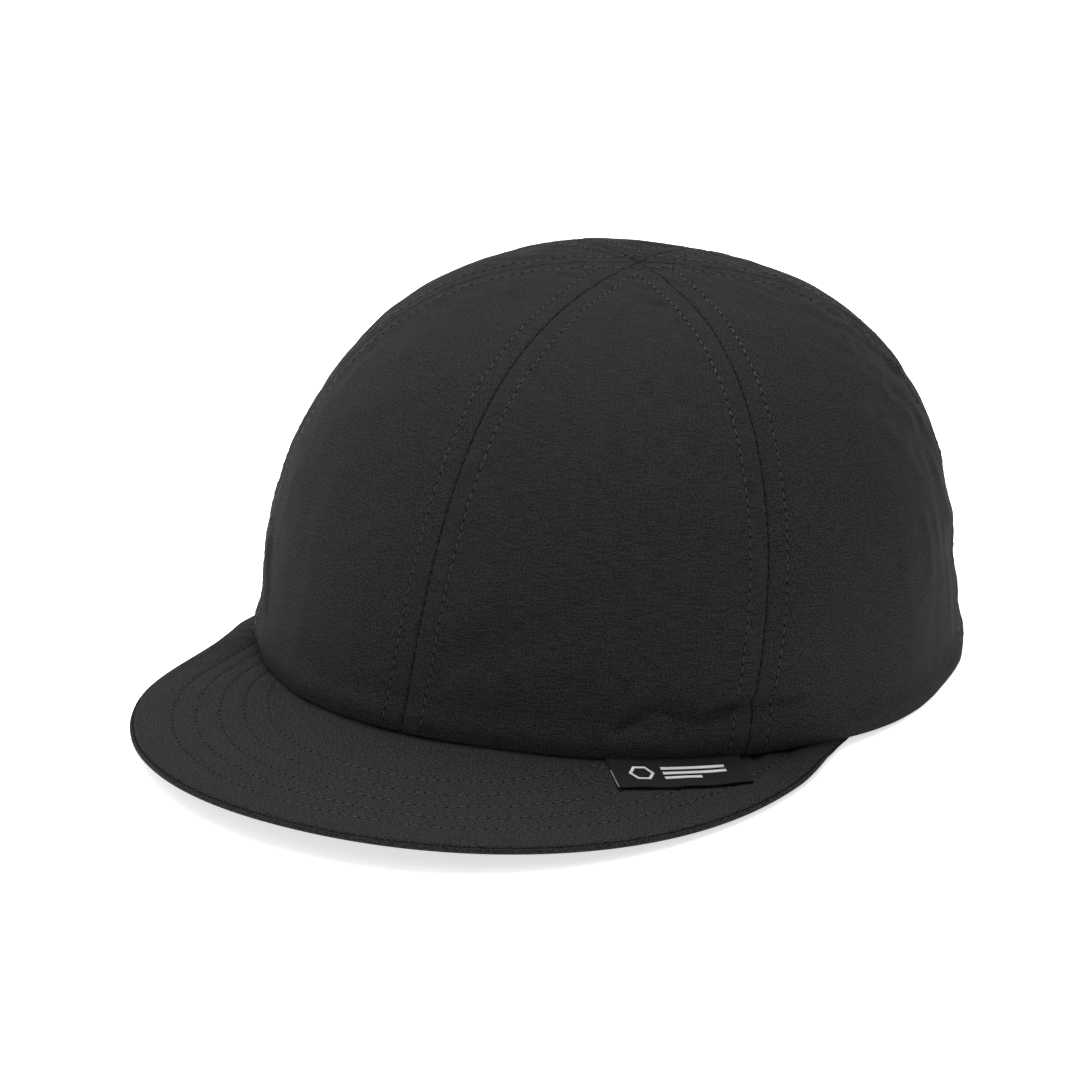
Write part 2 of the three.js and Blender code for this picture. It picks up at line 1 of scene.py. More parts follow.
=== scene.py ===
"""Bump cap: the cloth crown, brim, straps and pads modelled as soft goods round the CAD frame."""
import math
import bmesh
import bpy
import numpy as np
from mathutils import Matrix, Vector


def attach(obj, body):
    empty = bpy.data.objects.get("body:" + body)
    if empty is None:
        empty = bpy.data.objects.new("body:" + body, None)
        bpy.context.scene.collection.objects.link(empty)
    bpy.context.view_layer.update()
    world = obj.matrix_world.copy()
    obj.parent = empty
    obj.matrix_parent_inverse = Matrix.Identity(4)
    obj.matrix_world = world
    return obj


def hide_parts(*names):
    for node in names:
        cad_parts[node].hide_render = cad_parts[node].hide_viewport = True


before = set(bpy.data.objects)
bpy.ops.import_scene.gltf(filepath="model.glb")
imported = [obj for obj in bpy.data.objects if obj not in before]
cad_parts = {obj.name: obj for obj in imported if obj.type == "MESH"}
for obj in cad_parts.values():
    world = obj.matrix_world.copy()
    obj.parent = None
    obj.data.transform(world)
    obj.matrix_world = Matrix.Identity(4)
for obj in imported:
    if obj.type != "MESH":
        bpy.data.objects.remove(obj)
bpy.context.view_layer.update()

# ---- The cap's own dimensions, in millimetres and degrees, as in the CAD model ----

MM = 0.001
TURN = 2 * math.pi
HEM_HALF_WIDTH = 91.7
HEM_HALF_LENGTH = 99.0
CROWN_HEIGHT = 104.0
APEX_SETBACK = 15.0
HEM_ARCH = 6.2
FRONT_TAPER = 0.094
LEAN_BACK = math.radians(3.43)
SQUARENESS = (2.52, 0.23, -0.125)
FULLNESS = (-0.033, 0.054, -0.046)
BULGE_TOP = 0.9
SIDE_SEAM = 58.3
SIDE_SEAM_BOW = 1.8
BACK_SEAM = 120.0
BRIM_DEPTH = 53.7
BRIM_HALF_ANGLE = 85.9
BRIM_POWER = 2.32
BRIM_SWAY = {"angle": 60, "spread": 9.3, "right": -6.8}
# The brim's left and right ends slip under the crown: from and to shares of the half angle, and depth
BRIM_TUCK = ((0.72, 0.88, 2.4), (0.88, 0.96, 2.0))
BRIM_END = 0.95
BRIM_SLOPE = 0.345
BRIM_SIDE_SLOPE = 0.016
BRIM_CUP = -0.15
BRIM_THICK = 3.0
BRIM_LIFT = 2.6
ARCH_HALF_WIDTH = 42.0
ARCH_TOP = 52.0
ROW_SHIFT = np.array([0.0, 26.04, 1.15])

TOPSTITCH = 5.4
STITCH_PITCH = 2.7
BRIM_ROW_INSET = 10.0
BRIM_ROW_STEP = 6.2
BRIM_ROWS = 5

# How far a panel stays from its seam, and the climb at which stitching starts over the hem
SEAM_GAP = 0.02
HEM_CLEAR = 0.012

rng = np.random.default_rng(7)


# ---- Crown surface ----

def round_crown(terms, angle):
    """A value that varies round the crown: mean, front-to-back part, part at both ends."""
    return terms[0] + terms[1] * np.cos(angle) + terms[2] * np.cos(2 * angle)


def crown_point(angle, climb):
    """A point of the crown's outer face in its own leaning axes; climb is 0 at the hem, 1 on top."""
    turn = np.clip(climb, 0, 1) * math.pi / 2
    power = round_crown(SQUARENESS, angle)
    run = np.maximum(np.cos(turn), 1e-9)
    lift = np.sin(turn)
    reach = (run ** power + lift ** power) ** (-1 / power)
    rise = lift * reach
    swell = np.sin(math.pi * np.minimum(rise / BULGE_TOP, 1))
    out = run * reach * (1 + round_crown(FULLNESS, angle) * swell)
    width = HEM_HALF_WIDTH * (1 - FRONT_TAPER * np.cos(angle))
    return joined(
        width * out * np.sin(angle),
        -HEM_HALF_LENGTH * out * np.cos(angle) + APEX_SETBACK * rise,
        HEM_ARCH * np.cos(angle) ** 2 * (1 - rise) + CROWN_HEIGHT * rise)


def joined(*parts):
    return np.stack(parts, axis=-1)


def unit(vectors):
    return vectors / np.maximum(np.linalg.norm(vectors, axis=-1, keepdims=True), 1e-12)


def crown_normal(angle, climb):
    low = np.clip(climb, 0.001, 0.97)
    step = 5e-4
    along = crown_point(angle + step, low) - crown_point(angle - step, low)
    upward = crown_point(angle, low + step) - crown_point(angle, low - step)
    normal = unit(np.cross(along, upward))
    share = np.clip((climb - 0.97) / 0.03, 0, 1)[..., None]
    return unit(normal * (1 - share) + np.array([0, 0, 1.0]) * share)


def crown_metric(angle, climb):
    """Millimetres of cloth for one radian round the crown."""
    step = 1e-3
    ahead = crown_point(angle + step, climb)
    return np.linalg.norm(ahead - crown_point(angle - step, climb), axis=-1) / (2 * step)


def meridian_table(turns, climbs):
    grid = crown_point(np.linspace(0, math.pi, turns + 1)[:, None], np.linspace(0, 1, climbs + 1))
    steps = np.linalg.norm(np.diff(grid, axis=1, prepend=grid[:, :1]), axis=-1)
    return np.cumsum(steps, axis=1)


MERIDIANS = meridian_table(60, 200)


def crown_run(angle, climb):
    """Millimetres of cloth from the hem up to a point of the crown."""
    across = np.clip(np.abs(angle) / math.pi * 60, 0, 59.999)
    upward = np.clip(climb * 200, 0, 199.999)
    i, j = across.astype(int), upward.astype(int)
    a, b = across - i, upward - j
    low = MERIDIANS[i, j] * (1 - b) + MERIDIANS[i, j + 1] * b
    high = MERIDIANS[i + 1, j] * (1 - b) + MERIDIANS[i + 1, j + 1] * b
    return low * (1 - a) + high * a


def climb_at(angle, height):
    hem = HEM_ARCH * np.cos(angle) ** 2
    power = round_crown(SQUARENESS, angle)
    rise = np.clip((height - hem) / (CROWN_HEIGHT - hem), 0, 1)
    return np.arctan2(rise, (1 - rise ** power) ** (1 / power)) * 2 / math.pi


# The climb at which stitching and tape start over the rear arch
REAR_CLEAR = float(climb_at(math.pi, ARCH_TOP + 9.5))


def turned(a, b, angle):
    """Two coordinates after a turn of their axes from the first towards the second."""
    return a * math.cos(angle) + b * math.sin(angle), b * math.cos(angle) - a * math.sin(angle)


def to_row(points, lowest=None):
    """From the leaning crown's millimetres to the part's own frame in metres, over a lowest height."""
    x, y, z = np.moveaxis(points, -1, 0)
    row = (joined(x, *turned(y, z, LEAN_BACK)) + ROW_SHIFT) * MM
    if lowest is not None:
        row[..., 2] = np.maximum(row[..., 2], lowest * MM)
    return row


def both_to_row(points, normals, convert=to_row):
    """Points and their normals in the part's own frame."""
    row = convert(points)
    return row, unit(convert(points + normals) - row)


def seam_angle(seam, climb):
    """Angle of a numbered seam in radians: 0 front, 1 side, 2 back, 3 rear."""
    climb = np.asarray(climb, float)
    bow = SIDE_SEAM_BOW * 4 * climb * (1 - climb)
    return np.radians([0 * climb, SIDE_SEAM + bow, BACK_SEAM + 0 * climb, 180 + 0 * climb][seam])


# ---- Small tools ----

def smooth(value, low, high):
    share = np.clip((value - low) / (high - low), 0, 1)
    return share * share * (3 - 2 * share)


def between(ends, share):
    return ends[0] + (ends[1] - ends[0]) * share


def bell(offset, width):
    return np.exp(-(offset / width) ** 2)


def rounded(share):
    """Height of a quarter-round edge, as a share runs in from it."""
    return np.sqrt(1 - (1 - np.clip(share, 0, 1)) ** 2)


def waves(points, length, count=14, seed=1):
    """Soft band-limited noise: a sum of plane waves about one length, roughly from -1 to 1."""
    draw = np.random.default_rng(seed)
    total = np.zeros(points.shape[:-1])
    for _ in range(count):
        direction = unit(draw.normal(size=3))
        size = length * draw.uniform(0.7, 1.5)
        total += np.sin(points @ direction * (TURN / size) + draw.uniform(0, TURN))
    return total / math.sqrt(count)


def add_object(name, data):
    thing = bpy.data.objects.new(name, data)
    bpy.context.scene.collection.objects.link(thing)
    return thing


def raw_mesh(name, vertices, faces, material, uv=None):
    mesh = bpy.data.meshes.new(name)
    mesh.vertices.add(len(vertices))
    mesh.vertices.foreach_set("co", np.ascontiguousarray(vertices, np.float32).ravel())
    mesh.loops.add(faces.size)
    mesh.loops.foreach_set("vertex_index", faces.ravel().astype(np.int32))
    mesh.polygons.add(len(faces))
    mesh.polygons.foreach_set("loop_start", np.arange(0, faces.size, faces.shape[1], dtype=np.int32))
    mesh.polygons.foreach_set("use_smooth", np.ones(len(faces), bool))
    if uv is not None:
        layer = mesh.uv_layers.new(name="UVMap")
        layer.data.foreach_set("uv", uv[faces.ravel()].astype(np.float32).ravel())
    mesh.update(calc_edges=True)
    mesh.validate()
    mesh.materials.append(material)
    return add_object(name, mesh)


def quads(a, b, c, d):
    return joined(a, b, c, d).reshape(-1, 4)


def grid_mesh(name, points, uv, material, closed=False, flip=False):
    """A mesh from a grid of points of the part's frame, with a UV in millimetres of cloth."""
    index = np.arange(points[..., 0].size).reshape(points.shape[:2])
    if closed:
        index = np.vstack([index, index[:1]])
    corners = [index[:-1, :-1], index[1:, :-1], index[1:, 1:], index[:-1, 1:]]
    faces = quads(*(corners[::-1] if flip else corners))
    return raw_mesh(name, points.reshape(-1, 3), faces, material, uv.reshape(-1, 2))


def weld(mesh):
    """Closes the point where a ring grid meets itself, and turns its faces outwards."""
    shape = bmesh.new()
    shape.from_mesh(mesh)
    bmesh.ops.remove_doubles(shape, verts=shape.verts, dist=2e-5)
    bmesh.ops.recalc_face_normals(shape, faces=shape.faces)
    shape.to_mesh(mesh)
    shape.free()


def facing_out(vertices, faces):
    """The faces of a closed mesh, all turned over if they point into it."""
    corners = vertices[faces]
    areas = np.cross(corners[:, 2] - corners[:, 0], corners[:, 3] - corners[:, 1])
    return faces if np.sum(areas * corners.mean(axis=1)) > 0 else faces[:, ::-1]


def finish_piece(piece, node=None, body="cap"):
    """Hangs a piece on the body it rides on, and hides the CAD node it stands for."""
    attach(piece, body)
    if node:
        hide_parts(node)


def finish_cloth(piece, thickness, node):
    """A cloth surface of the cap, given its thickness inwards."""
    skin = piece.modifiers.new("thickness", "SOLIDIFY")
    skin.thickness = thickness * MM
    skin.offset = -1
    skin.use_even_offset = False
    finish_piece(piece, node)


def stitches(name, runs, material, pitch=STITCH_PITCH, length=2.0, radius=0.18, lift=0.09, start=0.5):
    """Sewing thread as short raised stitches along runs of (points, normals) in metres."""
    rings, sides = 5, 6
    along = np.linspace(-0.5, 0.5, rings)
    swell = np.array([0.35, 0.85, 1.0, 0.85, 0.35])
    arch = np.array([-1.4, -0.1, 0.35, -0.1, -1.4])
    turn = np.arange(sides) * TURN / sides
    vertices, faces, offset = [], [], 0
    for points, normals in runs:
        steps = np.linalg.norm(np.diff(points, axis=0), axis=1)
        run = np.concatenate([[0], np.cumsum(steps)])
        count = int(run[-1] / (pitch * MM))
        if count < 1:
            continue
        middle = (np.arange(count) + start) * run[-1] / count
        middle = middle + rng.normal(0, 0.04 * pitch * MM, count)

        def at(values, where):
            return joined(*(np.interp(where, run, column) for column in values.T))

        centre = at(points, middle)
        normal = unit(at(normals, middle))
        tangent = unit(at(points, middle + 0.3 * MM) - at(points, middle - 0.3 * MM))
        side = unit(np.cross(normal, tangent))
        half = length * MM * rng.uniform(0.92, 1.06, count)
        tangent = unit(tangent + side * rng.normal(0, 0.05, count)[:, None])
        spine = (centre[:, None] + tangent[:, None] * (along[None, :, None] * half[:, None, None])
                 + normal[:, None] * ((arch * radius * 0.5 + lift) * MM)[None, :, None])
        ring = (side[:, None, None] * np.cos(turn)[None, None, :, None]
                + normal[:, None, None] * (0.75 * np.sin(turn))[None, None, :, None])
        body = spine[:, :, None] + ring * (swell * radius * MM)[None, :, None, None]
        vertices.append(body.reshape(-1, 3))
        ids = np.arange(count * rings * sides).reshape(count, rings, sides) + offset
        beside = np.roll(ids, -1, axis=2)
        faces.append(quads(ids[:, :-1], beside[:, :-1], beside[:, 1:], ids[:, 1:]))
        for end, order in ((0, -1), (rings - 1, 1)):
            cap = ids[:, end, ::order]
            faces += [cap[:, [0, 1, 2, 3]], cap[:, [0, 3, 4, 5]]]
        offset += ids.size
    return raw_mesh(name, np.vstack(vertices), np.vstack(faces), material)


# ---- Materials ----

class Nodes:
    """A small helper that fills the node tree of a material or a world."""

    def __init__(self, owner):
        owner.use_nodes = True
        self.tree = owner.node_tree

    def feed(self, socket, value):
        if isinstance(value, bpy.types.NodeSocket):
            self.tree.links.new(value, socket)
        else:
            socket.default_value = value

    def fill(self, node, **values):
        """Sets sockets to plain values or links them to other nodes' outputs."""
        for socket, value in values.items():
            self.feed(node.inputs[socket.replace("_", " ")], value)
        return node

    def add(self, kind, **values):
        return self.fill(self.tree.nodes.new(f"ShaderNode{kind}"), **values)

    def math(self, operation, *values, kind="Math"):
        node = self.add(kind)
        node.operation = operation
        for socket, value in zip(node.inputs, values):
            self.feed(socket, value)
        return node.outputs["Value"]

    def map_range(self, factor, **values):
        return self.add("MapRange", Value=factor, **values).outputs["Result"]


class Shader(Nodes):
    """One material, whose bump layers lie over one another."""

    def __init__(self, name, tint, roughness, sheen=0.0, sheen_roughness=0.5, specular=0.5, metallic=0.0):
        self.material = bpy.data.materials.new(name)
        super().__init__(self.material)
        self.shader = self.tree.nodes["Principled BSDF"]
        self.tint = tint
        self.height = None
        self.fill(self.shader, Base_Color=(*tint, 1), Roughness=roughness, Metallic=metallic,
                  Sheen_Weight=sheen, Sheen_Roughness=sheen_roughness, Specular_IOR_Level=specular)

    def texture(self, kind, scale, place, turn, **values):
        """A texture over UV millimetres or the object's metres, turned by some degrees."""
        source = self.add("TexCoord").outputs[place]
        mapping = self.add("Mapping", Vector=source, Scale=scale, Rotation=(0, 0, math.radians(turn)))
        return self.add(kind, Vector=mapping.outputs["Vector"], Scale=1.0, **values)

    def noise(self, scale, detail, place="UV", distortion=0.0, turn=0.0):
        node = self.texture("TexNoise", scale, place, turn, Detail=detail, Distortion=distortion)
        return node.outputs["Fac"]

    def bands(self, scale, direction, distortion, place="UV", turn=0.0):
        node = self.texture("TexWave", scale, place, turn, Detail=1.0, Distortion=distortion)
        node.bands_direction = direction
        return node.outputs["Fac"]

    def weave(self, count, distortion, turn):
        """Warp over weft, so many yarns a millimetre."""
        return self.math("MULTIPLY", *(self.bands((count, count, 1), direction, distortion, turn=turn)
                                       for direction in "XY"))

    def total(self, *parts):
        """The sum of some factors, each times its share."""
        first, *rest = (self.math("MULTIPLY", factor, share) for factor, share in parts)
        for term in rest:
            first = self.math("ADD", first, term)
        return first

    def bump(self, height, distance, strength=1.0):
        """Adds a layer of relief, of a height in millimetres at full strength."""
        node = self.add("Bump", Height=height, Strength=strength, Distance=distance * MM)
        if self.height:
            self.fill(node, Normal=self.height)
        self.height = node.outputs["Normal"]
        self.fill(self.shader, Normal=self.height)

    def vary(self, factor, low, high, span=0.25):
        """Base colour from a low to a high share of the tint, across a span round a half."""
        ramp = self.add("ValToRGB", Fac=factor)
        for element, share, side in zip(ramp.color_ramp.elements, (low, high), (-span, span)):
            element.color = (*np.multiply(self.tint, share), 1)
            element.position = 0.5 + side
        self.fill(self.shader, Base_Color=ramp.outputs["Color"])

    def vary_roughness(self, factor, low, high):
        self.fill(self.shader, Roughness=self.map_range(factor, To_Min=low, To_Max=high))


def nylon(name, tint, turn, crinkles, grain, span):
    """Matte crinkled nylon: a fine plain weave with thin sideways crinkles and a few slubs."""
    cloth = Shader(name, tint, 0.8, 0.006, specular=0.06)
    crinkle = cloth.noise((0.20, 3.3, 1), 2.0, distortion=0.1, turn=turn)
    yarns = cloth.noise((*grain, 1), 1.0, turn=turn)
    slub = cloth.noise((2.6, 0.20, 1), 1.0, turn=turn)
    cloth.vary(cloth.total((crinkle, crinkles), (yarns, 0.93 - crinkles), (slub, 0.07)), 0.35, 1.75, span)
    cloth.vary_roughness(crinkle, 0.72, 0.92)
    cloth.bump(cloth.weave(1.25, 0.6, turn), 0.08, 0.8)
    cloth.bump(crinkle, 0.08)
    return cloth.material


def thread(name, tint, specular=0.4):
    yarn = Shader(name, tint, 0.42, 0.04, 0.3, specular)
    twist = yarn.bands((2200, 2200, 2200), "DIAGONAL", 0.0, "Object")
    yarn.bump(twist, 0.05, 0.6)
    yarn.vary(twist, 0.6, 1.3)
    return yarn.material


def thread_with_painted_highlight(name, tint):
    """The brim's thread: painted paler across the front as a painted highlight where the rows catch the
    light, and painted dark on the wearer's right as painted shade.
    """
    yarn = Shader(name, tint, 0.45, specular=0.22)
    place = yarn.add("SeparateXYZ", Vector=yarn.add("TexCoord").outputs["Object"])
    # The thread's colour falls to a near-black painted shade towards the wearer's right.
    shaded_share = 0.002 / np.array(tint)
    yarn.vary(yarn.map_range(place.outputs["X"], From_Min=-0.045, From_Max=0.0), shaded_share, 1, 0.5)
    return yarn.material


def plain_cloth(name, tint, count, relief, sheen, turn=0.0):
    """A woven band, tape or facing: warp and weft of a given count a millimetre."""
    cloth = Shader(name, tint, 0.85, sheen, specular=0.2)
    yarns = cloth.weave(count, 0.8, turn)
    cloth.vary(cloth.total((yarns, 0.5), (cloth.noise((0.12, 0.12, 1), 4.0), 0.5)), 0.6, 1.5)
    cloth.bump(yarns, relief)
    return cloth.material


def terry(name, tint):
    """The sweatband's face: a brushed towelling with small loops."""
    cloth = Shader(name, tint, 0.95, 0.7, specular=0.1)
    loops = cloth.noise((1.1, 1.1, 1), 4.0, distortion=0.6)
    cloth.vary(cloth.total((loops, 0.6), (cloth.noise((0.10, 0.10, 1), 3.0), 0.4)), 0.5, 1.6)
    cloth.bump(loops, 0.5)
    return cloth.material


def fuzz(name, tint, count, relief):
    """Hook or loop tape: a dense field of small loops or hooks."""
    cloth = Shader(name, tint, 0.9, 0.6, 0.4, 0.2)
    field = cloth.noise((count, count, 1), 5.0, distortion=1.5)
    cloth.vary(field, 0.35, 1.9)
    cloth.bump(field, relief)
    return cloth.material


def grained(name, tint, finish, grain, cloud, shares, relief, gloss=None):
    """A solid with a fine grain in relief and a slower cloud of colour, each (per metre, detail)."""
    solid = Shader(name, tint, **finish)
    layers = [solid.noise((count, count, count), detail, "Object") for count, detail in (grain, cloud)]
    solid.vary(layers[1], *shares)
    if gloss:
        layer, low, high = gloss
        solid.vary_roughness(layers[layer], low, high)
    solid.bump(layers[0], *relief)
    return solid.material


CROWN_TINT = (0.0178, 0.0173, 0.0192)
BRIM_TINT = (0.0188, 0.0184, 0.0200)
crown_cloth = nylon("crown_nylon", CROWN_TINT, 0, 0.34, (2.0, 2.6), 0.125)
side_cloth = nylon("crown_nylon_on_the_bias", CROWN_TINT, 38, 0.24, (2.0, 2.6), 0.11)
brim_cloth = nylon("brim_nylon", BRIM_TINT, 12, 0.20, (1.8, 2.3), 0.11)
black_thread = thread("black_thread", (0.024, 0.025, 0.024))
# Brim thread: paler at the front as a painted highlight, darker on the wearer's right as painted shade.
brim_thread = thread_with_painted_highlight("brim_thread", (0.040, 0.041, 0.040))
# The seam thread: black thread darkened further and made matte as painted shade of the seam groove.
seam_thread_in_painted_shade = thread("seam_thread_in_painted_shade", (0.004, 0.004, 0.004), 0.0)
# Near-black matte beads between the stitches: painted shade of the needle holes.
hole_shade_beads = thread("needle_hole_painted_shade", (0.003, 0.003, 0.003), 0.0)
tape_cloth = plain_cloth("tape_cloth", (0.016, 0.016, 0.018), 1.6, 0.12, 0.4, 45)
label_cloth = plain_cloth("label_satin", (0.0035, 0.0035, 0.004), 3.0, 0.04, 0.03, 20)
mark_thread = plain_cloth("label_mark_thread", (0.85, 0.85, 0.84), 3.2, 0.05, 0.1)
# A pale grey for the label's left edge: a painted highlight where the edge catches the light.
edge_highlight = plain_cloth("label_edge_painted_highlight", (0.35, 0.35, 0.34), 3.2, 0.10, 0.4)
tab_cloth = plain_cloth("size_tab_satin", (0.60, 0.60, 0.57), 2.4, 0.05, 0.3)
webbing = plain_cloth("webbing", (0.011, 0.011, 0.012), 0.9, 0.25, 0.12, 45)
sweat_cloth = terry("sweatband_towelling", (0.024, 0.024, 0.027))
loop_cloth = fuzz("loop_tape", (0.012, 0.012, 0.013), 2.2, 0.5)
hook_cloth = fuzz("hook_tape", (0.009, 0.009, 0.010), 3.4, 0.3)
# Moulded ABS, paler where it is handled; closed-cell foam; painted steel, worn in specks; fibre board
shell_plastic = grained("shell_abs", (0.016, 0.017, 0.019), {"roughness": 0.42, "specular": 0.45},
                        (900, 3), (30, 3), (0.85, 1.2), (0.05, 0.7), (1, 0.36, 0.55))
pad_foam = grained("pad_foam", (0.045, 0.046, 0.050), {"roughness": 0.92, "sheen": 0.5, "specular": 0.15},
                   (1400, 3), (60, 4), (0.75, 1.25), (0.12,))
clasp_metal = grained("clasp_metal", (0.035, 0.035, 0.037), {"roughness": 0.35, "metallic": 0.85},
                      (500, 4), (120, 2), (0.8, 1.9), (0.03, 0.6), (0, 0.25, 0.5))
stiff_board = grained("brim_board_plastic", (0.27, 0.28, 0.29), {"roughness": 0.6},
                      (300, 5), (300, 5), (0.8, 1.1), (0.04, 0.8))

# ---- Crown panels ----

SEAM_ZONE = np.array([
    0, 0.12, 0.28, 0.5, 0.8, 1.2, 1.7, 2.3, 3.0, 3.7, 4.3, 4.75, 5.0, 5.2, 5.4, 5.6, 5.8, 6.05,
    6.4, 6.8, 7.3, 8.0, 8.9, 10.0,
])
CLOTH = 0.7
MEAN_RADIUS = 88.0
ARCH_RADIUS = 93.2
BACK_ZONE = 8.9
# How far in and how high the cloth lies at each step of its fold under the hem
HEM_FOLD = [(1.9, 0.9), (1.55, 0.1), (1.1, -0.4), (0.6, -0.6), (0.2, -0.4)]


def seam_relief(distance, run, width):
    """Relief near a seam: a folded groove, flat allowances, a sunk stitch row and its puckers."""
    fade = smooth(width, 3, 22)
    groove = -0.36 * bell(distance, 0.26)
    allowance = 0.10 * (1 - smooth(distance, 6.0, 8.5)) * smooth(distance, 0.2, 1.2)
    row = -0.16 * bell(distance - TOPSTITCH, 0.45)
    drift = waves(joined(run, 0 * run, 0 * run), 19, 6, 11)
    pucker = np.sin(TURN * run / 8.2 + 2.0 * drift) * bell(distance - 4.9, 3.4)
    fine = np.sin(TURN * run / STITCH_PITCH) * bell(distance - TOPSTITCH, 0.9)
    return groove + fade * (allowance + row + 0.10 * pucker * (0.6 + 0.5 * np.abs(drift)) + 0.03 * fine)


CREASES = [
    # From (angle, height) to (angle, height), half width, height; below nought it is a fold inwards
    ((36.5, 10.5), (43, 17.2), 1.35, -1.9),
    ((42, 17.2), (51, 12.6), 1.45, -2.1),
    ((50, 12.6), (57, 15.8), 1.35, -2.0),
    ((55, 15.8), (67, 14.2), 1.6, -1.5),
    ((36, 7.5), (60, 8.5), 3.4, 1.0),
    ((44, 21), (58, 22), 3.5, 0.6),
    ((4, 24.5), (29, 39), 5.0, -1.3),
    ((38, 26), (52, 34), 7.0, -0.45),
    ((-54, 34), (-50, 12), 1.8, 0.9),
    ((-24, 26), (-60, 18), 7.0, -0.5),
    ((-40, 9), (-72, 7), 3.0, 0.9),
    ((95, 62), (128, 74), 5.0, -0.7),
    ((88, 74), (120, 84), 5.0, -0.6),
    ((104, 40), (128, 22), 4.0, -0.8),
    ((112, 52), (132, 40), 4.0, -0.7),
    ((118, 12), (138, 30), 3.2, -1.0),
    ((-80, 66), (-118, 82), 5.0, -0.7),
    ((-75, 44), (-112, 60), 6.0, -0.5),
    ((-100, 20), (-132, 34), 4.0, -0.9),
    ((150, 58), (172, 74), 5.0, -0.6),
    ((-148, 60), (-168, 70), 5.0, -0.6),
]

# Middle angle, half width in degrees and height of the fine upright wrinkles at the sides
GATHERED_SIDES = ((-62, 16, 0.16), (110, 20, 0.34), (-115, 18, 0.16))


def crease_relief(angle, points):
    """Soft creases between two places on the crown, fading at both ends."""
    total = np.zeros(angle.shape)
    turn = np.degrees(angle)
    height = points[..., 2]
    scale = math.radians(MEAN_RADIUS)
    for (angle_a, height_a), (angle_b, height_b), half, depth in CREASES:
        span = np.array([(angle_b - angle_a) * scale, height_b - height_a])
        away = (turn - angle_a + 180) % 360 - 180
        offset = joined(away * scale, height - height_a)
        share = offset @ span / (span @ span)
        across = np.abs(offset[..., 0] * span[1] - offset[..., 1] * span[0]) / np.linalg.norm(span)
        ends = smooth(share, -0.15, 0.3) * (1 - smooth(share, 0.7, 1.15))
        total += depth * ends * bell(across, half)
    return total


def cloth_relief(angle, climb, points):
    """The crown's own soft shape: slow waves, shallow wrinkles and fine gathers."""
    slow = 0.55 * waves(points, 62, 10, 3)
    fine = 0.16 * waves(points * np.array([1, 1, 1.7]), 17, 16, 5)
    ridges = 0.22 * (0.5 - np.abs(waves(points * np.array([1, 1, 1.5]), 30, 12, 9)))
    top = smooth(climb, 0.55, 0.95)
    from_apex = np.linalg.norm(points[..., :2] - np.array([0, APEX_SETBACK]), axis=-1)
    gathers = 0.42 * waves(points * np.array([0.5, 1.7, 1]), 7.5, 14, 13) * bell(from_apex, 33)
    turn = np.degrees(angle)
    for middle, half, strength in GATHERED_SIDES:
        share = bell(turn - middle, half) * smooth(climb, 0.02, 0.2) * (1 - top)
        gathers = gathers + strength * share * waves(points * np.array([1, 1, 0.3]), 7, 14, 15)
    return slow * (1 - 0.5 * top) + fine * (0.6 + 0.6 * top) + ridges * (0.6 + 0.8 * top), gathers


def crown_surface(angle, climb):
    """Finished outer face of the crown: points in the crown's axes, with all its relief."""
    base = crown_point(angle, climb)
    metric = crown_metric(np.abs(angle), np.minimum(climb, 0.999))
    relief, gathers = cloth_relief(angle, climb, base)
    width = metric * math.radians(60)
    near = np.full(angle.shape, 99.0)
    for seam in range(4):
        distance = np.abs(np.abs(angle) - seam_angle(seam, np.clip(climb, 0, 1))) * metric
        near = np.minimum(near, distance)
    relief = relief * (0.35 + 0.65 * smooth(near, 0, 12)) + crease_relief(angle, base)
    gathers = gathers * smooth(width, 0, 7) * (0.45 + 0.55 * smooth(near, 0, 6))
    relief = relief * smooth(width, 0, 20) + gathers
    above_hem = base[..., 2] - HEM_ARCH * np.cos(angle) ** 2
    relief = relief + seam_relief(near, crown_run(angle, climb), width) + 0.9 * bell(above_hem - 3.2, 3.4)
    return base + crown_normal(angle, climb) * relief[..., None]


def panel_columns(width):
    """Distances from a panel's first seam to its columns, closer together near both seams."""
    zone = SEAM_ZONE[:, None] * np.minimum(1, 0.44 * width / SEAM_ZONE[-1])[None]
    inner = np.linspace(0, 1, 60)[1:-1, None]
    centre = zone[-1] + inner * (width - 2 * zone[-1])
    return np.vstack([zone, centre, width - zone[::-1]])


def arch_height(across):
    """Height of the rear arch's edge at a distance from the middle."""
    share = np.clip(np.abs(across) / ARCH_HALF_WIDTH, 0, 1)
    return HEM_ARCH + (ARCH_TOP - HEM_ARCH) * np.sqrt(1 - share ** 2)


def arch_climb(angle):
    """Climb at which a column of the back panel leaves the rear arch; 0 beside the arch."""
    height = np.full(angle.shape, HEM_ARCH)
    for _ in range(60):
        across = crown_point(angle, climb_at(angle, height))[..., 0]
        height = 0.5 * height + 0.5 * arch_height(across)
    across = crown_point(angle, climb_at(angle, height))[..., 0]
    inside = np.abs(across) < ARCH_HALF_WIDTH - 0.02
    return np.where(inside, climb_at(angle, height), 0.0)


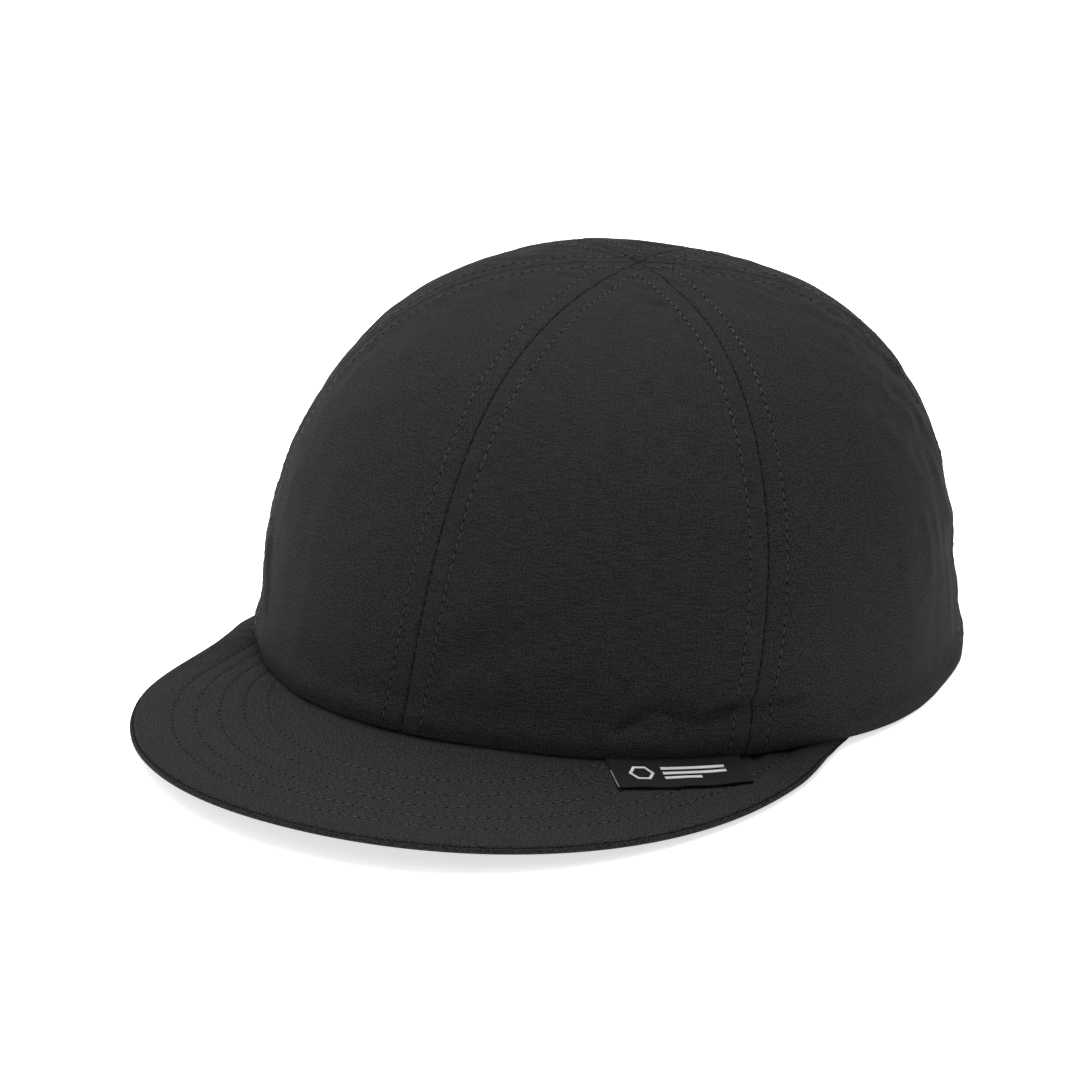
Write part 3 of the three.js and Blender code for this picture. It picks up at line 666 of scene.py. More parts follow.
def back_columns(width, metric):
    """Columns of a back panel, closer together at the rear arch's upright edge."""
    corner = math.asin(ARCH_HALF_WIDTH / ARCH_RADIUS)
    phi = np.linspace(0.15, math.pi / 2, 42)
    inside = math.pi - np.arcsin(ARCH_HALF_WIDTH * np.cos(phi) / ARCH_RADIUS)
    outside = np.linspace(math.radians(BACK_SEAM), math.pi - corner, 22)[1:]
    angles = np.concatenate([outside, inside])
    hem = (angles - math.radians(BACK_SEAM)) * metric[0]
    zone = SEAM_ZONE[SEAM_ZONE <= BACK_ZONE]
    middle = hem[(hem > BACK_ZONE + 0.5) & (hem < width[0] - BACK_ZONE - 0.5)]
    shrink = np.minimum(1, 0.44 * width / BACK_ZONE)
    share = (middle[:, None] - BACK_ZONE) / (width[0] - 2 * BACK_ZONE)
    first = zone[:, None] * shrink
    centre = BACK_ZONE * shrink + share * (width - 2 * BACK_ZONE * shrink)
    return np.vstack([first, centre, width - first[::-1]])


def named(hand):
    return "left" if hand > 0 else "right"


def crown_panel(side, first, second, hand, material):
    """One panel between two numbered seams, with its cloth turned in along the hem."""
    climbs = np.linspace(0, 0.9965, 168)
    seam_a, seam_b = seam_angle(first, climbs), seam_angle(second, climbs)
    metric = crown_metric((seam_a + seam_b) / 2, climbs)
    width = (seam_b - seam_a) * metric
    columns = back_columns(width, metric) if side == "back" else panel_columns(width)
    angle = seam_a + np.clip(columns, SEAM_GAP, width - SEAM_GAP) / metric
    climb = np.broadcast_to(climbs, angle.shape)
    if side == "back":
        floor_climb = arch_climb(angle[:, :1])
        climb = floor_climb + (1 - floor_climb) * climb
    face = crown_surface(hand * angle, climb)
    inward = -crown_normal(hand * angle[:, :1], climb[:, :1])
    folds = [face[:, :1] + inward * depth + np.array([0, 0, lift]) for depth, lift in HEM_FOLD]
    middle = (seam_angle(first, climb) + seam_angle(second, climb)) / 2
    cloth_u = (angle - middle) * crown_metric(middle, np.minimum(climb, 0.999))
    cloth_u = np.concatenate([cloth_u[:, :1]] * len(HEM_FOLD) + [cloth_u], axis=1)
    run = crown_run(angle, climb)
    run = np.concatenate([run[:, :1] - depth for depth, _ in HEM_FOLD] + [run], axis=1)
    row = to_row(np.concatenate([*folds, face], axis=1), 0.2)
    piece = grid_mesh(f"panel_{side}_{named(hand)}", row, joined(cloth_u, run), material, flip=hand < 0)
    finish_cloth(piece, CLOTH, f"crown_{side}_{named(hand)}")


crown_panel("front", 0, 1, 1, crown_cloth)
crown_panel("front", 0, 1, -1, side_cloth)
for hand in (1, -1):
    crown_panel("side", 1, 2, hand, side_cloth)
    crown_panel("back", 2, 3, hand, crown_cloth)


def crown_under(plan):
    """Angle and climb of the points of the crown's top that lie at places in plan."""
    reach = 150.0
    guess = (plan - np.array([0, APEX_SETBACK])) / reach
    for _ in range(60):
        angle = np.arctan2(guess[:, 0], -guess[:, 1])
        climb = 1 - np.linalg.norm(guess, axis=1)
        guess = guess + (plan - crown_point(angle, climb)[:, :2]) / reach
    return angle, climb


def surface_run(angle, climb):
    """A run of points and normals on the finished crown, for sewing."""
    return both_to_row(crown_surface(angle[None], climb[None])[0], crown_normal(angle, climb))


def beside_seam(seam, hand, beside, climbs):
    angle = seam_angle(seam, climbs)
    return hand * (angle + beside * TOPSTITCH / crown_metric(angle, climbs))


def crown_stitch_runs():
    """Two rows of topstitching beside every seam; one pair of seams is sewn right across the top."""
    runs = []
    climbs = np.linspace(HEM_CLEAR, 0.95, 260)
    for seam, hand in ((0, 1), (1, 1), (2, -1), (3, 1)):
        keep = crown_metric(seam_angle(seam, climbs), climbs) * math.radians(60) > 9.4
        if seam == 3:
            keep &= climbs > REAR_CLEAR
        for beside in (-1, 1):
            row = beside_seam(seam, hand, beside, climbs)
            runs.append(surface_run(row[keep], climbs[keep]))
    climbs = np.linspace(HEM_CLEAR, 0.90, 240)
    for beside in (-1, 1):
        up, down = beside_seam(1, -1, beside, climbs), beside_seam(2, 1, beside, climbs)
        ends = [crown_point(row[-1:], climbs[-1:])[0, :2] for row in (up, down)]
        share = np.linspace(0, 1, 62)[1:-1, None]
        angle, climb = crown_under(ends[0] * (1 - share) + ends[1] * share)
        runs.append(surface_run(np.concatenate([up, angle, down[::-1]]),
                                np.concatenate([climbs, climb, climbs[::-1]])))
    return runs


def seam_stitch_runs():
    """The thread of the seams themselves, as small dashes in the groove; their near-black matte colour is
    partly the thread's own and partly painted shade of the groove.
    """
    for seam, hands in ((0, (1,)), (1, (1, -1)), (2, (1, -1)), (3, (1,))):
        climbs = np.linspace(HEM_CLEAR if seam < 3 else REAR_CLEAR, 0.985, 260)
        for hand in hands:
            yield surface_run(hand * seam_angle(seam, climbs), climbs)


def sew(name, runs, material, slot, body="cap", **style):
    finish_piece(stitches(name, runs, material, **style), body=body)


def sew_rows(name, runs, slot, material=black_thread):
    """Rows of topstitching: the thread on top, and near-black beads between the stitches as painted shade
    where the thread dives into the cloth.
    """
    sew(f"{name}_stitching", runs, material, slot)
    sew(f"{name}_needle_hole_shade", runs, hole_shade_beads, slot, length=0.95, radius=0.20, lift=0.0, start=0.0)


sew_rows("crown", crown_stitch_runs(), "crown_cloth")
sew("seam_stitching", seam_stitch_runs(), seam_thread_in_painted_shade, "crown_cloth", length=1.8, radius=0.15)


# ---- Brim ----

def brim_reach(share):
    """Reach of the brim from the hem, drawn in on the right; its ends slip under the crown."""
    share = np.clip(share, -1, 1)
    even = BRIM_DEPTH * (1 - np.abs(share) ** BRIM_POWER) ** 2
    away = np.abs(share) * BRIM_HALF_ANGLE - BRIM_SWAY["angle"]
    sway = BRIM_SWAY["right"] * bell(away, BRIM_SWAY["spread"])
    (left, left_end, left_depth), (right, right_end, right_depth) = BRIM_TUCK
    tuck = np.where(share > 0, left_depth * smooth(share, left, left_end),
                    right_depth * smooth(-share, right, right_end) - sway)
    return even - tuck


def hem_outward(angle):
    """A point of the hem in the crown's axes, and the level way out from it."""
    hem = crown_point(angle, 0 * angle)
    across, along = hem[..., 0] / HEM_HALF_WIDTH ** 2, hem[..., 1] / HEM_HALF_LENGTH ** 2
    return hem, unit(joined(across, along, 0 * angle))


def brim_base(angle, distance):
    """A point of the brim's reference surface in the crown's axes."""
    point, outward = hem_outward(angle)
    point = point + outward * distance[..., None]
    drop = distance * (BRIM_SLOPE + BRIM_SIDE_SLOPE * (1 - np.cos(angle)))
    point[..., 2] -= drop + BRIM_CUP * distance ** 2 / 50
    return point


def brim_middle(distance, reach, body=1.0):
    """Height of the brim's middle over its reference surface, thinner where there is less body."""
    outer = np.clip(distance / np.maximum(reach, 6), 0, 1)
    return BRIM_LIFT * outer * body - BRIM_THICK / 2 * (0.25 + 0.75 * body)


def plan_turn(points):
    """Degrees round the crown's axis, from the front."""
    return np.degrees(np.arctan2(points[..., 0], -points[..., 1]))


def brim_outline(count):
    share = np.linspace(-BRIM_END, BRIM_END, count)
    return brim_base(np.radians(share * BRIM_HALF_ANGLE), brim_reach(share))[:, :2]


OUTLINE = brim_outline(400)


def edge_distance(points):
    """Distance in plan from points to the brim's outline."""
    flat = points[..., :2].reshape(-1, 2)
    best = np.full(len(flat), 1e9)
    for a, d in zip(OUTLINE, np.diff(OUTLINE, axis=0)):
        share = np.clip(((flat - a) @ d) / (d @ d), 0, 1)
        best = np.minimum(best, np.linalg.norm(flat - a - share[:, None] * d, axis=1))
    return best.reshape(points.shape[:-1])


# How far the covers run into the seam and dip beside it, and each one's steps past the outline
SEAM_DEPTH = 2.4
SEAM_DIP = 0.55
UPPER_RIM = ((0.05, -0.2), (0.0, -0.5), (-0.5, -0.8))
LOWER_RIM = ((0.55, 0.0), (0.95, 0.3), (1.02, 0.65), (0.85, 1.0), (0.55, 1.16), (0.26, 1.02), (0.18, 0.4))


def row_inset(k, plan):
    """How far in from the outline a stitch row runs; the rows keep closer to it at the sides."""
    return (BRIM_ROW_INSET + k * BRIM_ROW_STEP) * (1 - 0.10 * smooth(np.abs(plan_turn(plan)), 36, 62))


def brim_relief(base, edge, distance, side):
    """Quilting between the stitch rows, deeper where the rows run into the seam at the sides."""
    total = 0.16 * waves(base, 34, 10, 21 + side)
    turn = plan_turn(base)
    swing = waves(joined(turn * 1.9, 0.4 * distance, 0 * turn), 5.5, 12, 25 + side)
    drawn = bell(np.maximum(distance, 0), 17) * smooth(np.abs(turn), 34, 60)
    for k in range(BRIM_ROWS):
        away = edge - row_inset(k, base)
        total = total - (0.20 + 0.34 * drawn) * bell(away, 0.6 + 0.9 * drawn)
        total = total + 0.08 * swing * bell(away, 2.4)
    return total + 0.24 * drawn * swing - SEAM_DIP * bell(np.maximum(distance, 0), 2.6)


def brim_cover(level, side):
    """side +1 is the upper cover, which rolls over the rim; -1 the lower cover with its lip."""
    share = np.linspace(-BRIM_END, BRIM_END, 380)[:, None]
    reach = brim_reach(share)
    along = np.linspace(0, 1, 104)
    along = 1 - (1 - along) * (1 - 0.35 * along)
    distance = -SEAM_DEPTH + along * (reach + SEAM_DEPTH)
    base = brim_base(np.broadcast_to(np.radians(share * BRIM_HALF_ANGLE), distance.shape), distance)
    edge = edge_distance(base)
    body = smooth(reach, 0.3, 9)
    middle = brim_middle(distance, reach, body)
    half = 0.5 * (BRIM_THICK - 0.7 * (1 - smooth(edge, 0, 6))) * (0.25 + 0.75 * body)
    rim = rounded(edge / 1.5)
    relief = brim_relief(base, edge, distance, side) * smooth(edge, 0.5, 4) * body
    flat = smooth(-plan_turn(base[:, -1:]), 25, 50)
    if side > 0:
        height = middle + half * between((0.5 + 0.15 * flat, 1), rim) + relief - 0.4 * smooth(-distance, 0, 1)
    else:
        height = middle - half * (0.75 + 0.25 * rim) - relief
    face = base.copy()
    face[..., 2] += height
    outward = unit(base[:, -1:] - base[:, -2:-1])
    points, cloth, run = [face], [face[..., :2]], 0
    steps = UPPER_RIM if side > 0 else LOWER_RIM
    for k, ((out, lift), (last_out, last_lift)) in enumerate(zip(steps, ((0, 0), *steps))):
        reached = (out - 0.3 * flat * (k > 4)) * body
        roll = base[:, -1:] + outward * reached[..., None]
        roll[..., 2] = face[:, -1:, 2] + lift * (1.3 + 0.1 * flat) * body
        run += math.hypot(out - last_out, lift - last_lift)
        points.append(roll)
        cloth.append(face[:, -1:, :2] + outward[..., :2] * run)
    row = to_row(np.concatenate(points, axis=1), 0.3)
    cloth = np.concatenate(cloth, axis=1)
    piece = grid_mesh(f"brim_{level}_cloth", row, cloth, brim_cloth, flip=side > 0)
    finish_cloth(piece, 0.35, f"brim_{level}_cover")


def inset_outline(k):
    """The outline moved inwards in plan, cut off where it would run into the crown."""
    edge = brim_outline(420)
    along = unit(np.gradient(edge, axis=0))
    inward = joined(-along[:, 1], along[:, 0])
    inward *= np.sign(np.sum(inward * -edge, axis=1).mean())
    moved = edge
    for _ in range(4):
        moved = edge + inward * row_inset(k, moved)[:, None]
    turn = np.arctan2(moved[:, 0] / HEM_HALF_WIDTH, -moved[:, 1] / HEM_HALF_LENGTH)
    hem = crown_point(turn, 0 * turn)[:, :2]
    outside = np.linalg.norm(moved, axis=1) - np.linalg.norm(hem, axis=1)
    return moved[outside > 0.8]


def brim_stitch_runs(side):
    """The brim's rows of topstitching on one cover, each point found on the hem's own outward lines."""
    runs = []
    for k in range(BRIM_ROWS):
        plan = inset_outline(k)
        turn = np.arctan2(plan[:, 0], -plan[:, 1])
        # Step round the hem, taken as 110 mm in radius, until each point lies straight out from it
        for _ in range(6):
            hem, outward = hem_outward(turn)
            offset = plan - hem[:, :2]
            turn = turn - (offset[:, 0] * outward[:, 1] - offset[:, 1] * outward[:, 0]) / 110
        distance = np.sum((plan - crown_point(turn, 0 * turn)[:, :2]) * outward[:, :2], axis=1)
        base = brim_base(turn, distance)
        middle = brim_middle(distance, brim_reach(np.degrees(turn) / BRIM_HALF_ANGLE))
        relief = brim_relief(base, row_inset(k, base), distance, side)
        base[:, 2] += middle + side * (BRIM_THICK / 2 + relief)
        row = to_row(base, 0.9)
        runs.append((row, np.tile([0.0, 0.0, float(side)], (len(row), 1))))
    return runs


brim_faces = (("upper", 1), ("lower", -1))
for level, side in brim_faces:
    brim_cover(level, side)
for level, side in brim_faces:
    sew_rows(f"brim_{level}", brim_stitch_runs(side), "brim_cloth", brim_thread)

# ---- Bands, tapes and pads: closed slabs with soft rounded edges ----


def spaced(count):
    """Values from 0 to 1, closer together towards both ends."""
    even = np.linspace(0, 1, count)
    return 0.4 * even + 0.6 * (0.5 - 0.5 * np.cos(math.pi * even))


def soft_slab(name, surface, size, thick, counts, material, relief=None, rounding=0.6):
    """A closed slab round a middle surface(u, v), which gives points and normals in metres."""
    u, v = np.meshgrid(spaced(counts[0]), spaced(counts[1]), indexing="ij")
    centre, normal = surface(u, v)
    cloth = joined(u * size[0], v * size[1])
    edge = np.minimum(np.minimum(u, 1 - u) * size[0], np.minimum(v, 1 - v) * size[1])
    shoulder = np.clip(edge / (thick * rounding), 0, 1)
    half = 0.5 * thick * np.maximum(rounded(shoulder), math.sqrt(0.02))
    rise = half + relief(cloth[..., 0], cloth[..., 1], centre) * shoulder if relief else half
    vertices = np.stack([centre + normal * (rise * MM)[..., None], centre - normal * (half * MM)[..., None]])
    index = np.arange(u.size).reshape(u.shape)
    under = index + u.size
    loop = np.concatenate([index[:-1, 0], index[-1, :-1], index[:0:-1, -1], index[0, :0:-1]])
    after = np.roll(loop, -1)
    faces = np.vstack([
        quads(index[:-1, :-1], index[1:, :-1], index[1:, 1:], index[:-1, 1:]),
        quads(under[:-1, 1:], under[1:, 1:], under[1:, :-1], under[:-1, :-1]),
        quads(after, loop, loop + u.size, after + u.size)])
    vertices, uv = vertices.reshape(-1, 3), np.tile(cloth.reshape(-1, 2), (2, 1))
    return raw_mesh(name, vertices, facing_out(vertices, faces), material, uv)


def under_crown(angle, height, depth):
    """Middle surface at a depth under the crown's outer face, as points and normals in metres."""
    climb = climb_at(angle, height)
    normal = crown_normal(angle, climb)
    return both_to_row(crown_point(angle, climb) - normal * np.asarray(depth)[..., None], normal)


def patch(name, node, centre, half_span, heights, depth, thick, material, relief=None,
          counts=(40, 24), body="cap", rounding=0.6):
    """A small piece that lies at a depth under the crown, between two heights above the hem."""
    def surface(u, v):
        angle = np.radians(centre + half_span * (2 * u - 1))
        return under_crown(angle, between(heights, v), depth + thick / 2)

    size = (2 * math.radians(half_span) * 88, heights[1] - heights[0])
    finish_piece(soft_slab(name, surface, size, thick, counts, material, relief, rounding), node, body)


def fuzzy(x, y, centre):
    return 0.16 * waves(centre / MM, 1.6, 18, 41)


for hand in (1, -1):
    for place, turn in (("front", 32), ("side", 78)):
        end = f"{place}_{named(hand)}"
        patch(f"loop_{end}", f"loop_patch_{end}", hand * turn, 6, (47, 61), 1.7, 1.3,
              loop_cloth, fuzzy, (60, 60))
        patch(f"hook_{end}", f"hook_patch_{end}", hand * turn, 5, (49, 59), 3.4, 1.8,
              hook_cloth, fuzzy, (60, 50), "insert")

# ---- Sweatband ----

BAND_END = math.radians(153)
BAND_HEIGHT = 30
BAND_ROWS = (3.2, 26.6)


def band_surface(u, v):
    angle = BAND_END * (2 * u - 1)
    rear = smooth(np.abs(np.degrees(angle)), 106, 120)
    hem = HEM_ARCH * np.cos(angle) ** 2
    height = hem + 1 + v * BAND_HEIGHT * (1 - hem / CROWN_HEIGHT)
    wander = 0.25 * np.sin(angle * 19) * np.sin(v * math.pi) + 0.15 * np.sin(angle * 43 + v * 4)
    return under_crown(angle, height, 3.55 + 2.7 * rear - wander * smooth(v, 0.1, 0.5))


def band_relief(x, y, centre):
    rows = -0.22 * sum(bell(y - row, 0.5) for row in BAND_ROWS)
    return rows + 0.05 * waves(centre / MM, 2.4, 14, 51)


band = soft_slab("sweatband_cloth", band_surface, (500, BAND_HEIGHT), 1.25, (620, 40), sweat_cloth,
                 band_relief)
finish_piece(band, "sweatband")


def line_on(surface, across, start, end, offset):
    """A run of points and normals along a slab's inner or outer face, at one share across it."""
    u = np.linspace(start, end, 400)
    point, normal = surface(u, np.full(u.shape, across))
    return point + normal * offset * MM, normal * np.sign(offset)


band_runs = [line_on(band_surface, row / BAND_HEIGHT, 0.004, 0.996, -0.62) for row in BAND_ROWS]
sew("sweatband_stitching", band_runs, black_thread, "sweatband_cloth")
patch("size_tab_cloth", "size_tab", -97, 6.5, (5, 29), 4.6, 0.5, tab_cloth, rounding=0.8)

# ---- Seam tapes over the inside of the seams, and the facing of the rear arch ----

TAPE_WIDTH = 12.0
HEM_START = 0.005


def seam_tape(name, first, second, second_start, layer):
    """A tape that runs up one seam, over the top and down the opposite one, below other layers."""
    def path(share):
        up = share < 0.5
        angle = np.where(up, math.radians(first), math.radians(second))
        climb = np.where(up, between((HEM_START, 1), 2 * share), between((second_start, 1), 2 - 2 * share))
        return angle, np.clip(climb, 0, 1)

    def surface(u, v):
        angle, climb = path(u)
        point, normal = crown_point(angle, climb), crown_normal(angle, climb)
        ahead = crown_point(*path(np.clip(u + 0.004, 0, 1))) - crown_point(*path(np.clip(u - 0.004, 0, 1)))
        offset = (v - 0.5) * TAPE_WIDTH
        depth = 2.0 + layer * smooth(climb, 0.7, 0.9) + offset ** 2 / 180
        face = point + unit(np.cross(normal, unit(ahead))) * offset[..., None] - normal * depth[..., None]
        row, way = both_to_row(face, normal)
        row[..., 2] = np.maximum(row[..., 2], 1.0 * MM)
        return row, way

    tape = soft_slab(f"tape_{name}", surface, (270, TAPE_WIDTH), 0.6, (300, 16), tape_cloth)
    finish_piece(tape, f"seam_tape_{name}")


seam_tape("middle", 0, 180, REAR_CLEAR, 0)
seam_tape("left", 59.3, -120, HEM_START, 1)
seam_tape("right", -59.3, 120, HEM_START, 2)


def rear_place(across, height):
    """Angle of the crown where it passes a distance from the middle at a height, at the rear."""
    low, high = np.full(across.shape, 100.0), np.full(across.shape, 180.0)
    for _ in range(40):
        middle = (low + high) / 2
        angle = np.radians(middle)
        too_wide = crown_point(angle, climb_at(angle, height))[..., 0] > np.abs(across)
        low = np.where(too_wide, middle, low)
        high = np.where(too_wide, high, middle)
    return np.where(across >= 0, 1, -1) * np.radians((low + high) / 2)


def arch_place(phi, margin):
    """Angle and height of the rear arch's edge, grown by a margin, as phi runs over it."""
    height = HEM_ARCH + (ARCH_TOP - HEM_ARCH + margin) * np.sin(phi)
    return rear_place((ARCH_HALF_WIDTH + margin) * np.cos(phi), height), height


FACING_WIDTH = 7.6


def facing_surface(u, v):
    return under_crown(*arch_place(math.pi * (0.012 + 0.976 * u), 0.3 + v * FACING_WIDTH), 1.75)


facing = soft_slab("arch_facing", facing_surface, (150, FACING_WIDTH), 0.7, (200, 14), tape_cloth)
finish_piece(facing, "rear_arch_facing")


def arch_stitch_run(margin):
    angle, height = arch_place(math.pi * np.linspace(0.02, 0.98, 300), margin)
    return surface_run(angle, climb_at(angle, height))


sew_rows("arch", [arch_stitch_run(1.6), arch_stitch_run(6.8)], "crown_cloth")

# ---- Woven label ----

LABEL_ANGLE = math.radians(46.3)
LABEL_WIDTH = 36.4
LABEL_START, LABEL_REACH = 0.9, 13.6


def label_place(along, out):
    """Point and normal of the label's middle at millimetres along it and out from the crown."""
    angle = LABEL_ANGLE + along / (HEM_HALF_LENGTH - 3 + out)
    point = brim_base(angle, out)
    free = smooth(out, 5, 15)
    point[..., 2] += BRIM_LIFT * out / brim_reach(np.degrees(angle) / BRIM_HALF_ANGLE) + 0.35
    point[..., 2] += (0.35 + 0.12 * np.sin(along * 0.5 + 1.0)) * free
    return to_row(point), np.broadcast_to(np.array([0.20, -0.22, 0.955]), point.shape)


def label_surface(u, v):
    return label_place((u - 0.5) * LABEL_WIDTH, LABEL_START + v * LABEL_REACH)


label = soft_slab("brim_label_cloth", label_surface, (LABEL_WIDTH, LABEL_REACH), 0.45, (120, 50), label_cloth)
finish_piece(label, "brim_label")


def label_mark(name, place, size, counts, material=mark_thread, thick=0.12):
    """Raised satin stitch on the label; place(u, v) gives millimetres along it and out."""
    def surface(u, v):
        point, normal = label_place(*place(u, v))
        return point + normal * 0.25 * MM, normal

    finish_piece(soft_slab(name, surface, size, thick, counts, material, rounding=1.2))


def mark_bar(name, start, end, out, height, **style):
    def place(u, v):
        return between((start, end), u), out + height * v

    label_mark(name, place, (end - start, height), (max(6, int((end - start) * 4)), 8), **style)


def mark_ring(name, centre, radius, width):
    """A six-sided ring."""
    def place(u, v):
        turn = u * TURN
        flat = math.cos(math.pi / 6) / np.cos(turn % (math.pi / 3) - math.pi / 6)
        distance = (radius + (v - 0.5) * width) * flat
        return centre[0] + distance * np.cos(turn), centre[1] + distance * np.sin(turn)

    label_mark(name, place, (TURN * radius, width), (97, 6))


mark_ring("label_mark_ring", (-10.2, 7.6), 3.0, 0.9)
for k, end in enumerate((12.6, 12.6, 5.4)):
    mark_bar(f"label_mark_bar_{k + 1}", -4.6, end, 4.9 + 2.2 * k, 1.2)
# A pale strip up part of the label's left edge: a painted highlight where the edge catches the light.
mark_bar("label_edge", -18.3, -18.0, 6.5, 7.9, material=edge_highlight, thick=0.4)

# ---- Hard insert ----

SHELL_DEPTH = 5.6
SHELL_THICK = 2.0
PAD_DEPTH = 8.4
PAD_THICK = 5.0


def shell_depth(angle, climb):
    return SHELL_DEPTH + 4 * ((1 - np.cos(angle)) / 2) ** 2 * (1 - climb)


def ring_mesh(name, loop, material):
    piece = grid_mesh(name, to_row(loop), np.zeros(loop.shape[:2] + (2,)), material, closed=True)
    weld(piece.data)
    return piece


def shell_skin():
    """The shell with its lip along the lower edge, as one closed ring grid."""
    turn = np.linspace(0, TURN, 240, endpoint=False)
    edge = climb_at(turn, 41 + 12 * np.maximum(0, -np.cos(turn)) ** 3)[:, None]
    climb = edge + (1 - edge) * np.linspace(0, 1, 64)
    angle = np.broadcast_to(turn[:, None], climb.shape)
    point, normal = crown_point(angle, climb), crown_normal(angle, climb)
    ridge = 0.35 * np.cos(angle * 12) * smooth(climb, 0.45, 0.6) * (1 - smooth(climb, 0.93, 0.99))
    depth = shell_depth(angle, climb) + 0.25 + 0.25 * ridge
    outer = point - normal * depth[..., None]
    inner = point - normal * (depth + SHELL_THICK - 0.4)[..., None]
    lip = outer[:, :1] * 0.5 + inner[:, :1] * 0.5 - np.array([0, 0, 0.5])
    return ring_mesh("shell_blank", np.concatenate([outer[:, ::-1], lip, inner], axis=1), shell_plastic)


def vent_plug(angle, height, width, length):
    """The two outlines of a slot-shaped plug along the crown's normal, inner and outer."""
    climb = climb_at(angle, height)
    normal = crown_normal(np.array(angle), climb)
    across = np.array([math.cos(angle), math.sin(angle), 0])
    across = unit(across - normal * (across @ normal))
    upward = np.cross(normal, across)
    half = (length - width) / 2
    turns = np.linspace(0, math.pi, 9)
    outline = [across * math.cos(t) * width / 2 + upward * (half + math.sin(t) * width / 2) for t in turns]
    ring = crown_point(np.array(angle), climb) + np.array(outline + [-p for p in outline])
    return to_row(ring - normal * 22), to_row(ring + normal * 2)


def vent_plugs():
    slots = [(math.radians(15 + 30 * k), 88, 6, 22) for k in range(12)]
    slots += [(hand * math.radians(a), 60, 5, 14) for hand in (-1, 1) for a in (53, 116, 128, 140)]
    plugs = bmesh.new()
    for slot in slots:
        low, high = ([plugs.verts.new(p) for p in ring] for ring in vent_plug(*slot))
        plugs.faces.new(low[::-1])
        plugs.faces.new(high)
        for a, b, c, d in zip(low, low[1:] + low[:1], high[1:] + high[:1], high):
            plugs.faces.new((a, b, c, d))
    mesh = bpy.data.meshes.new("vents")
    bmesh.ops.recalc_face_normals(plugs, faces=plugs.faces)
    plugs.to_mesh(mesh)
    plugs.free()
    return add_object("vents", mesh)


def cut_vents(blank, cutter):
    """Cuts the vent slots and returns the finished shell, smooth but for its cut edges."""
    knife = blank.modifiers.new("vents", "BOOLEAN")
    knife.operation = "DIFFERENCE"
    knife.solver = "EXACT"
    knife.object = cutter
    evaluated = blank.evaluated_get(bpy.context.evaluated_depsgraph_get())
    finished = bpy.data.meshes.new_from_object(evaluated)
    for spent in (cutter, blank):
        bpy.data.objects.remove(spent)
    shape = bmesh.new()
    shape.from_mesh(finished)
    for edge in shape.edges:
        edge.smooth = not (edge.is_manifold and edge.calc_face_angle(0) > 0.6)
    shape.to_mesh(finished)
    shape.free()
    finished.materials.clear()
    finished.materials.append(shell_plastic)
    return add_object("shell_moulding", finished)


finish_piece(cut_vents(shell_skin(), vent_plugs()), "bump_shell", "insert")


def finish_pad(piece, node):
    finish_piece(piece, node, "insert")


def dimples(x, y, centre):
    return 0.25 * waves(centre / MM, 12, 10, 61)


def side_pad(name, centre, half_span, heights, hand=1):
    """A pad on the inside of the shell, between two heights."""
    def surface(u, v):
        angle = hand * np.radians(centre + half_span * (2 * u - 1))
        height = between(heights, v)
        depth = shell_depth(angle, climb_at(angle, height)) - SHELL_DEPTH + PAD_DEPTH + PAD_THICK / 2
        return under_crown(angle, height, depth)

    size = (2 * math.radians(half_span) * 80, (heights[1] - heights[0]) * 1.08)
    piece = soft_slab(f"pad_{name}", surface, size, PAD_THICK, (90, 40), pad_foam, dimples, 0.75)
    finish_pad(piece, f"foam_pad_{name}")


side_pad("front", 0, 24, (45, 64))
side_pad("rear", 180, 22, (60, 76))
side_pad("left", 90, 22, (46, 66))
side_pad("right", 90, 22, (46, 66), hand=-1)


def top_pad():
    """A round pad under the top of the shell, drawn as one closed ring grid."""
    turn = np.linspace(0, TURN, 144, endpoint=False)
    half, shoulder = PAD_THICK / 2, 0.0625
    rounding = np.linspace(0, math.pi / 2, 9)
    shares = np.concatenate([np.linspace(1, shoulder, 22)[:-1], shoulder * (1 - np.sin(rounding))])
    bulges = np.concatenate([np.full(21, half), half * np.cos(rounding)])
    rows = []
    for share, offset in [*zip(shares, bulges), *zip(shares[-2::-1], -bulges[-2::-1])]:
        climb = np.full(turn.shape, 0.745 + (1 - 0.745) * share)
        depth = shell_depth(turn, climb) - SHELL_DEPTH + PAD_DEPTH + half - offset
        rows.append(crown_point(turn, climb) - crown_normal(turn, climb) * depth[:, None])
    finish_pad(ring_mesh("pad_top", np.stack(rows, axis=1), pad_foam), "foam_pad_top")


top_pad()

# ---- Rear adjuster ----

CONE_RADIUS, CONE_SLOPE = 96.4, 0.2
CONE_TILT = math.atan(CONE_SLOPE)
STRAP_WIDTH, STRAP_HEIGHT, STRAP_DEPTH, STRAP_THICK = 14.0, 15.5, 3.55, 1.1
STRAP_FROM, STRAP_TO = math.radians(-42), math.radians(36)
STRAP_SIZE = ((STRAP_TO - STRAP_FROM) * (CONE_RADIUS - STRAP_DEPTH), STRAP_WIDTH)
CLASP_TURN = math.radians(12)
TAB_BAR = (8.6, 5.4, 1.0)
TAB_TAIL = 30.0
TAB_PLY = 0.85
TAB_WIDTH = 13.6


def strap_surface(u, v):
    angle = between((STRAP_FROM, STRAP_TO), u)
    height = (v - 0.5) * (STRAP_WIDTH - np.maximum(0, u - 0.95) * 40)
    radius = CONE_RADIUS - CONE_SLOPE * height - STRAP_DEPTH - STRAP_THICK / 2
    outward = joined(np.sin(angle), np.cos(angle), 0 * angle)
    up = np.array([0, 0, 1.0])
    normal = outward * math.cos(CONE_TILT) + up * math.sin(CONE_TILT)
    return both_to_row(outward * radius[..., None] + up * (STRAP_HEIGHT + height)[..., None], normal)


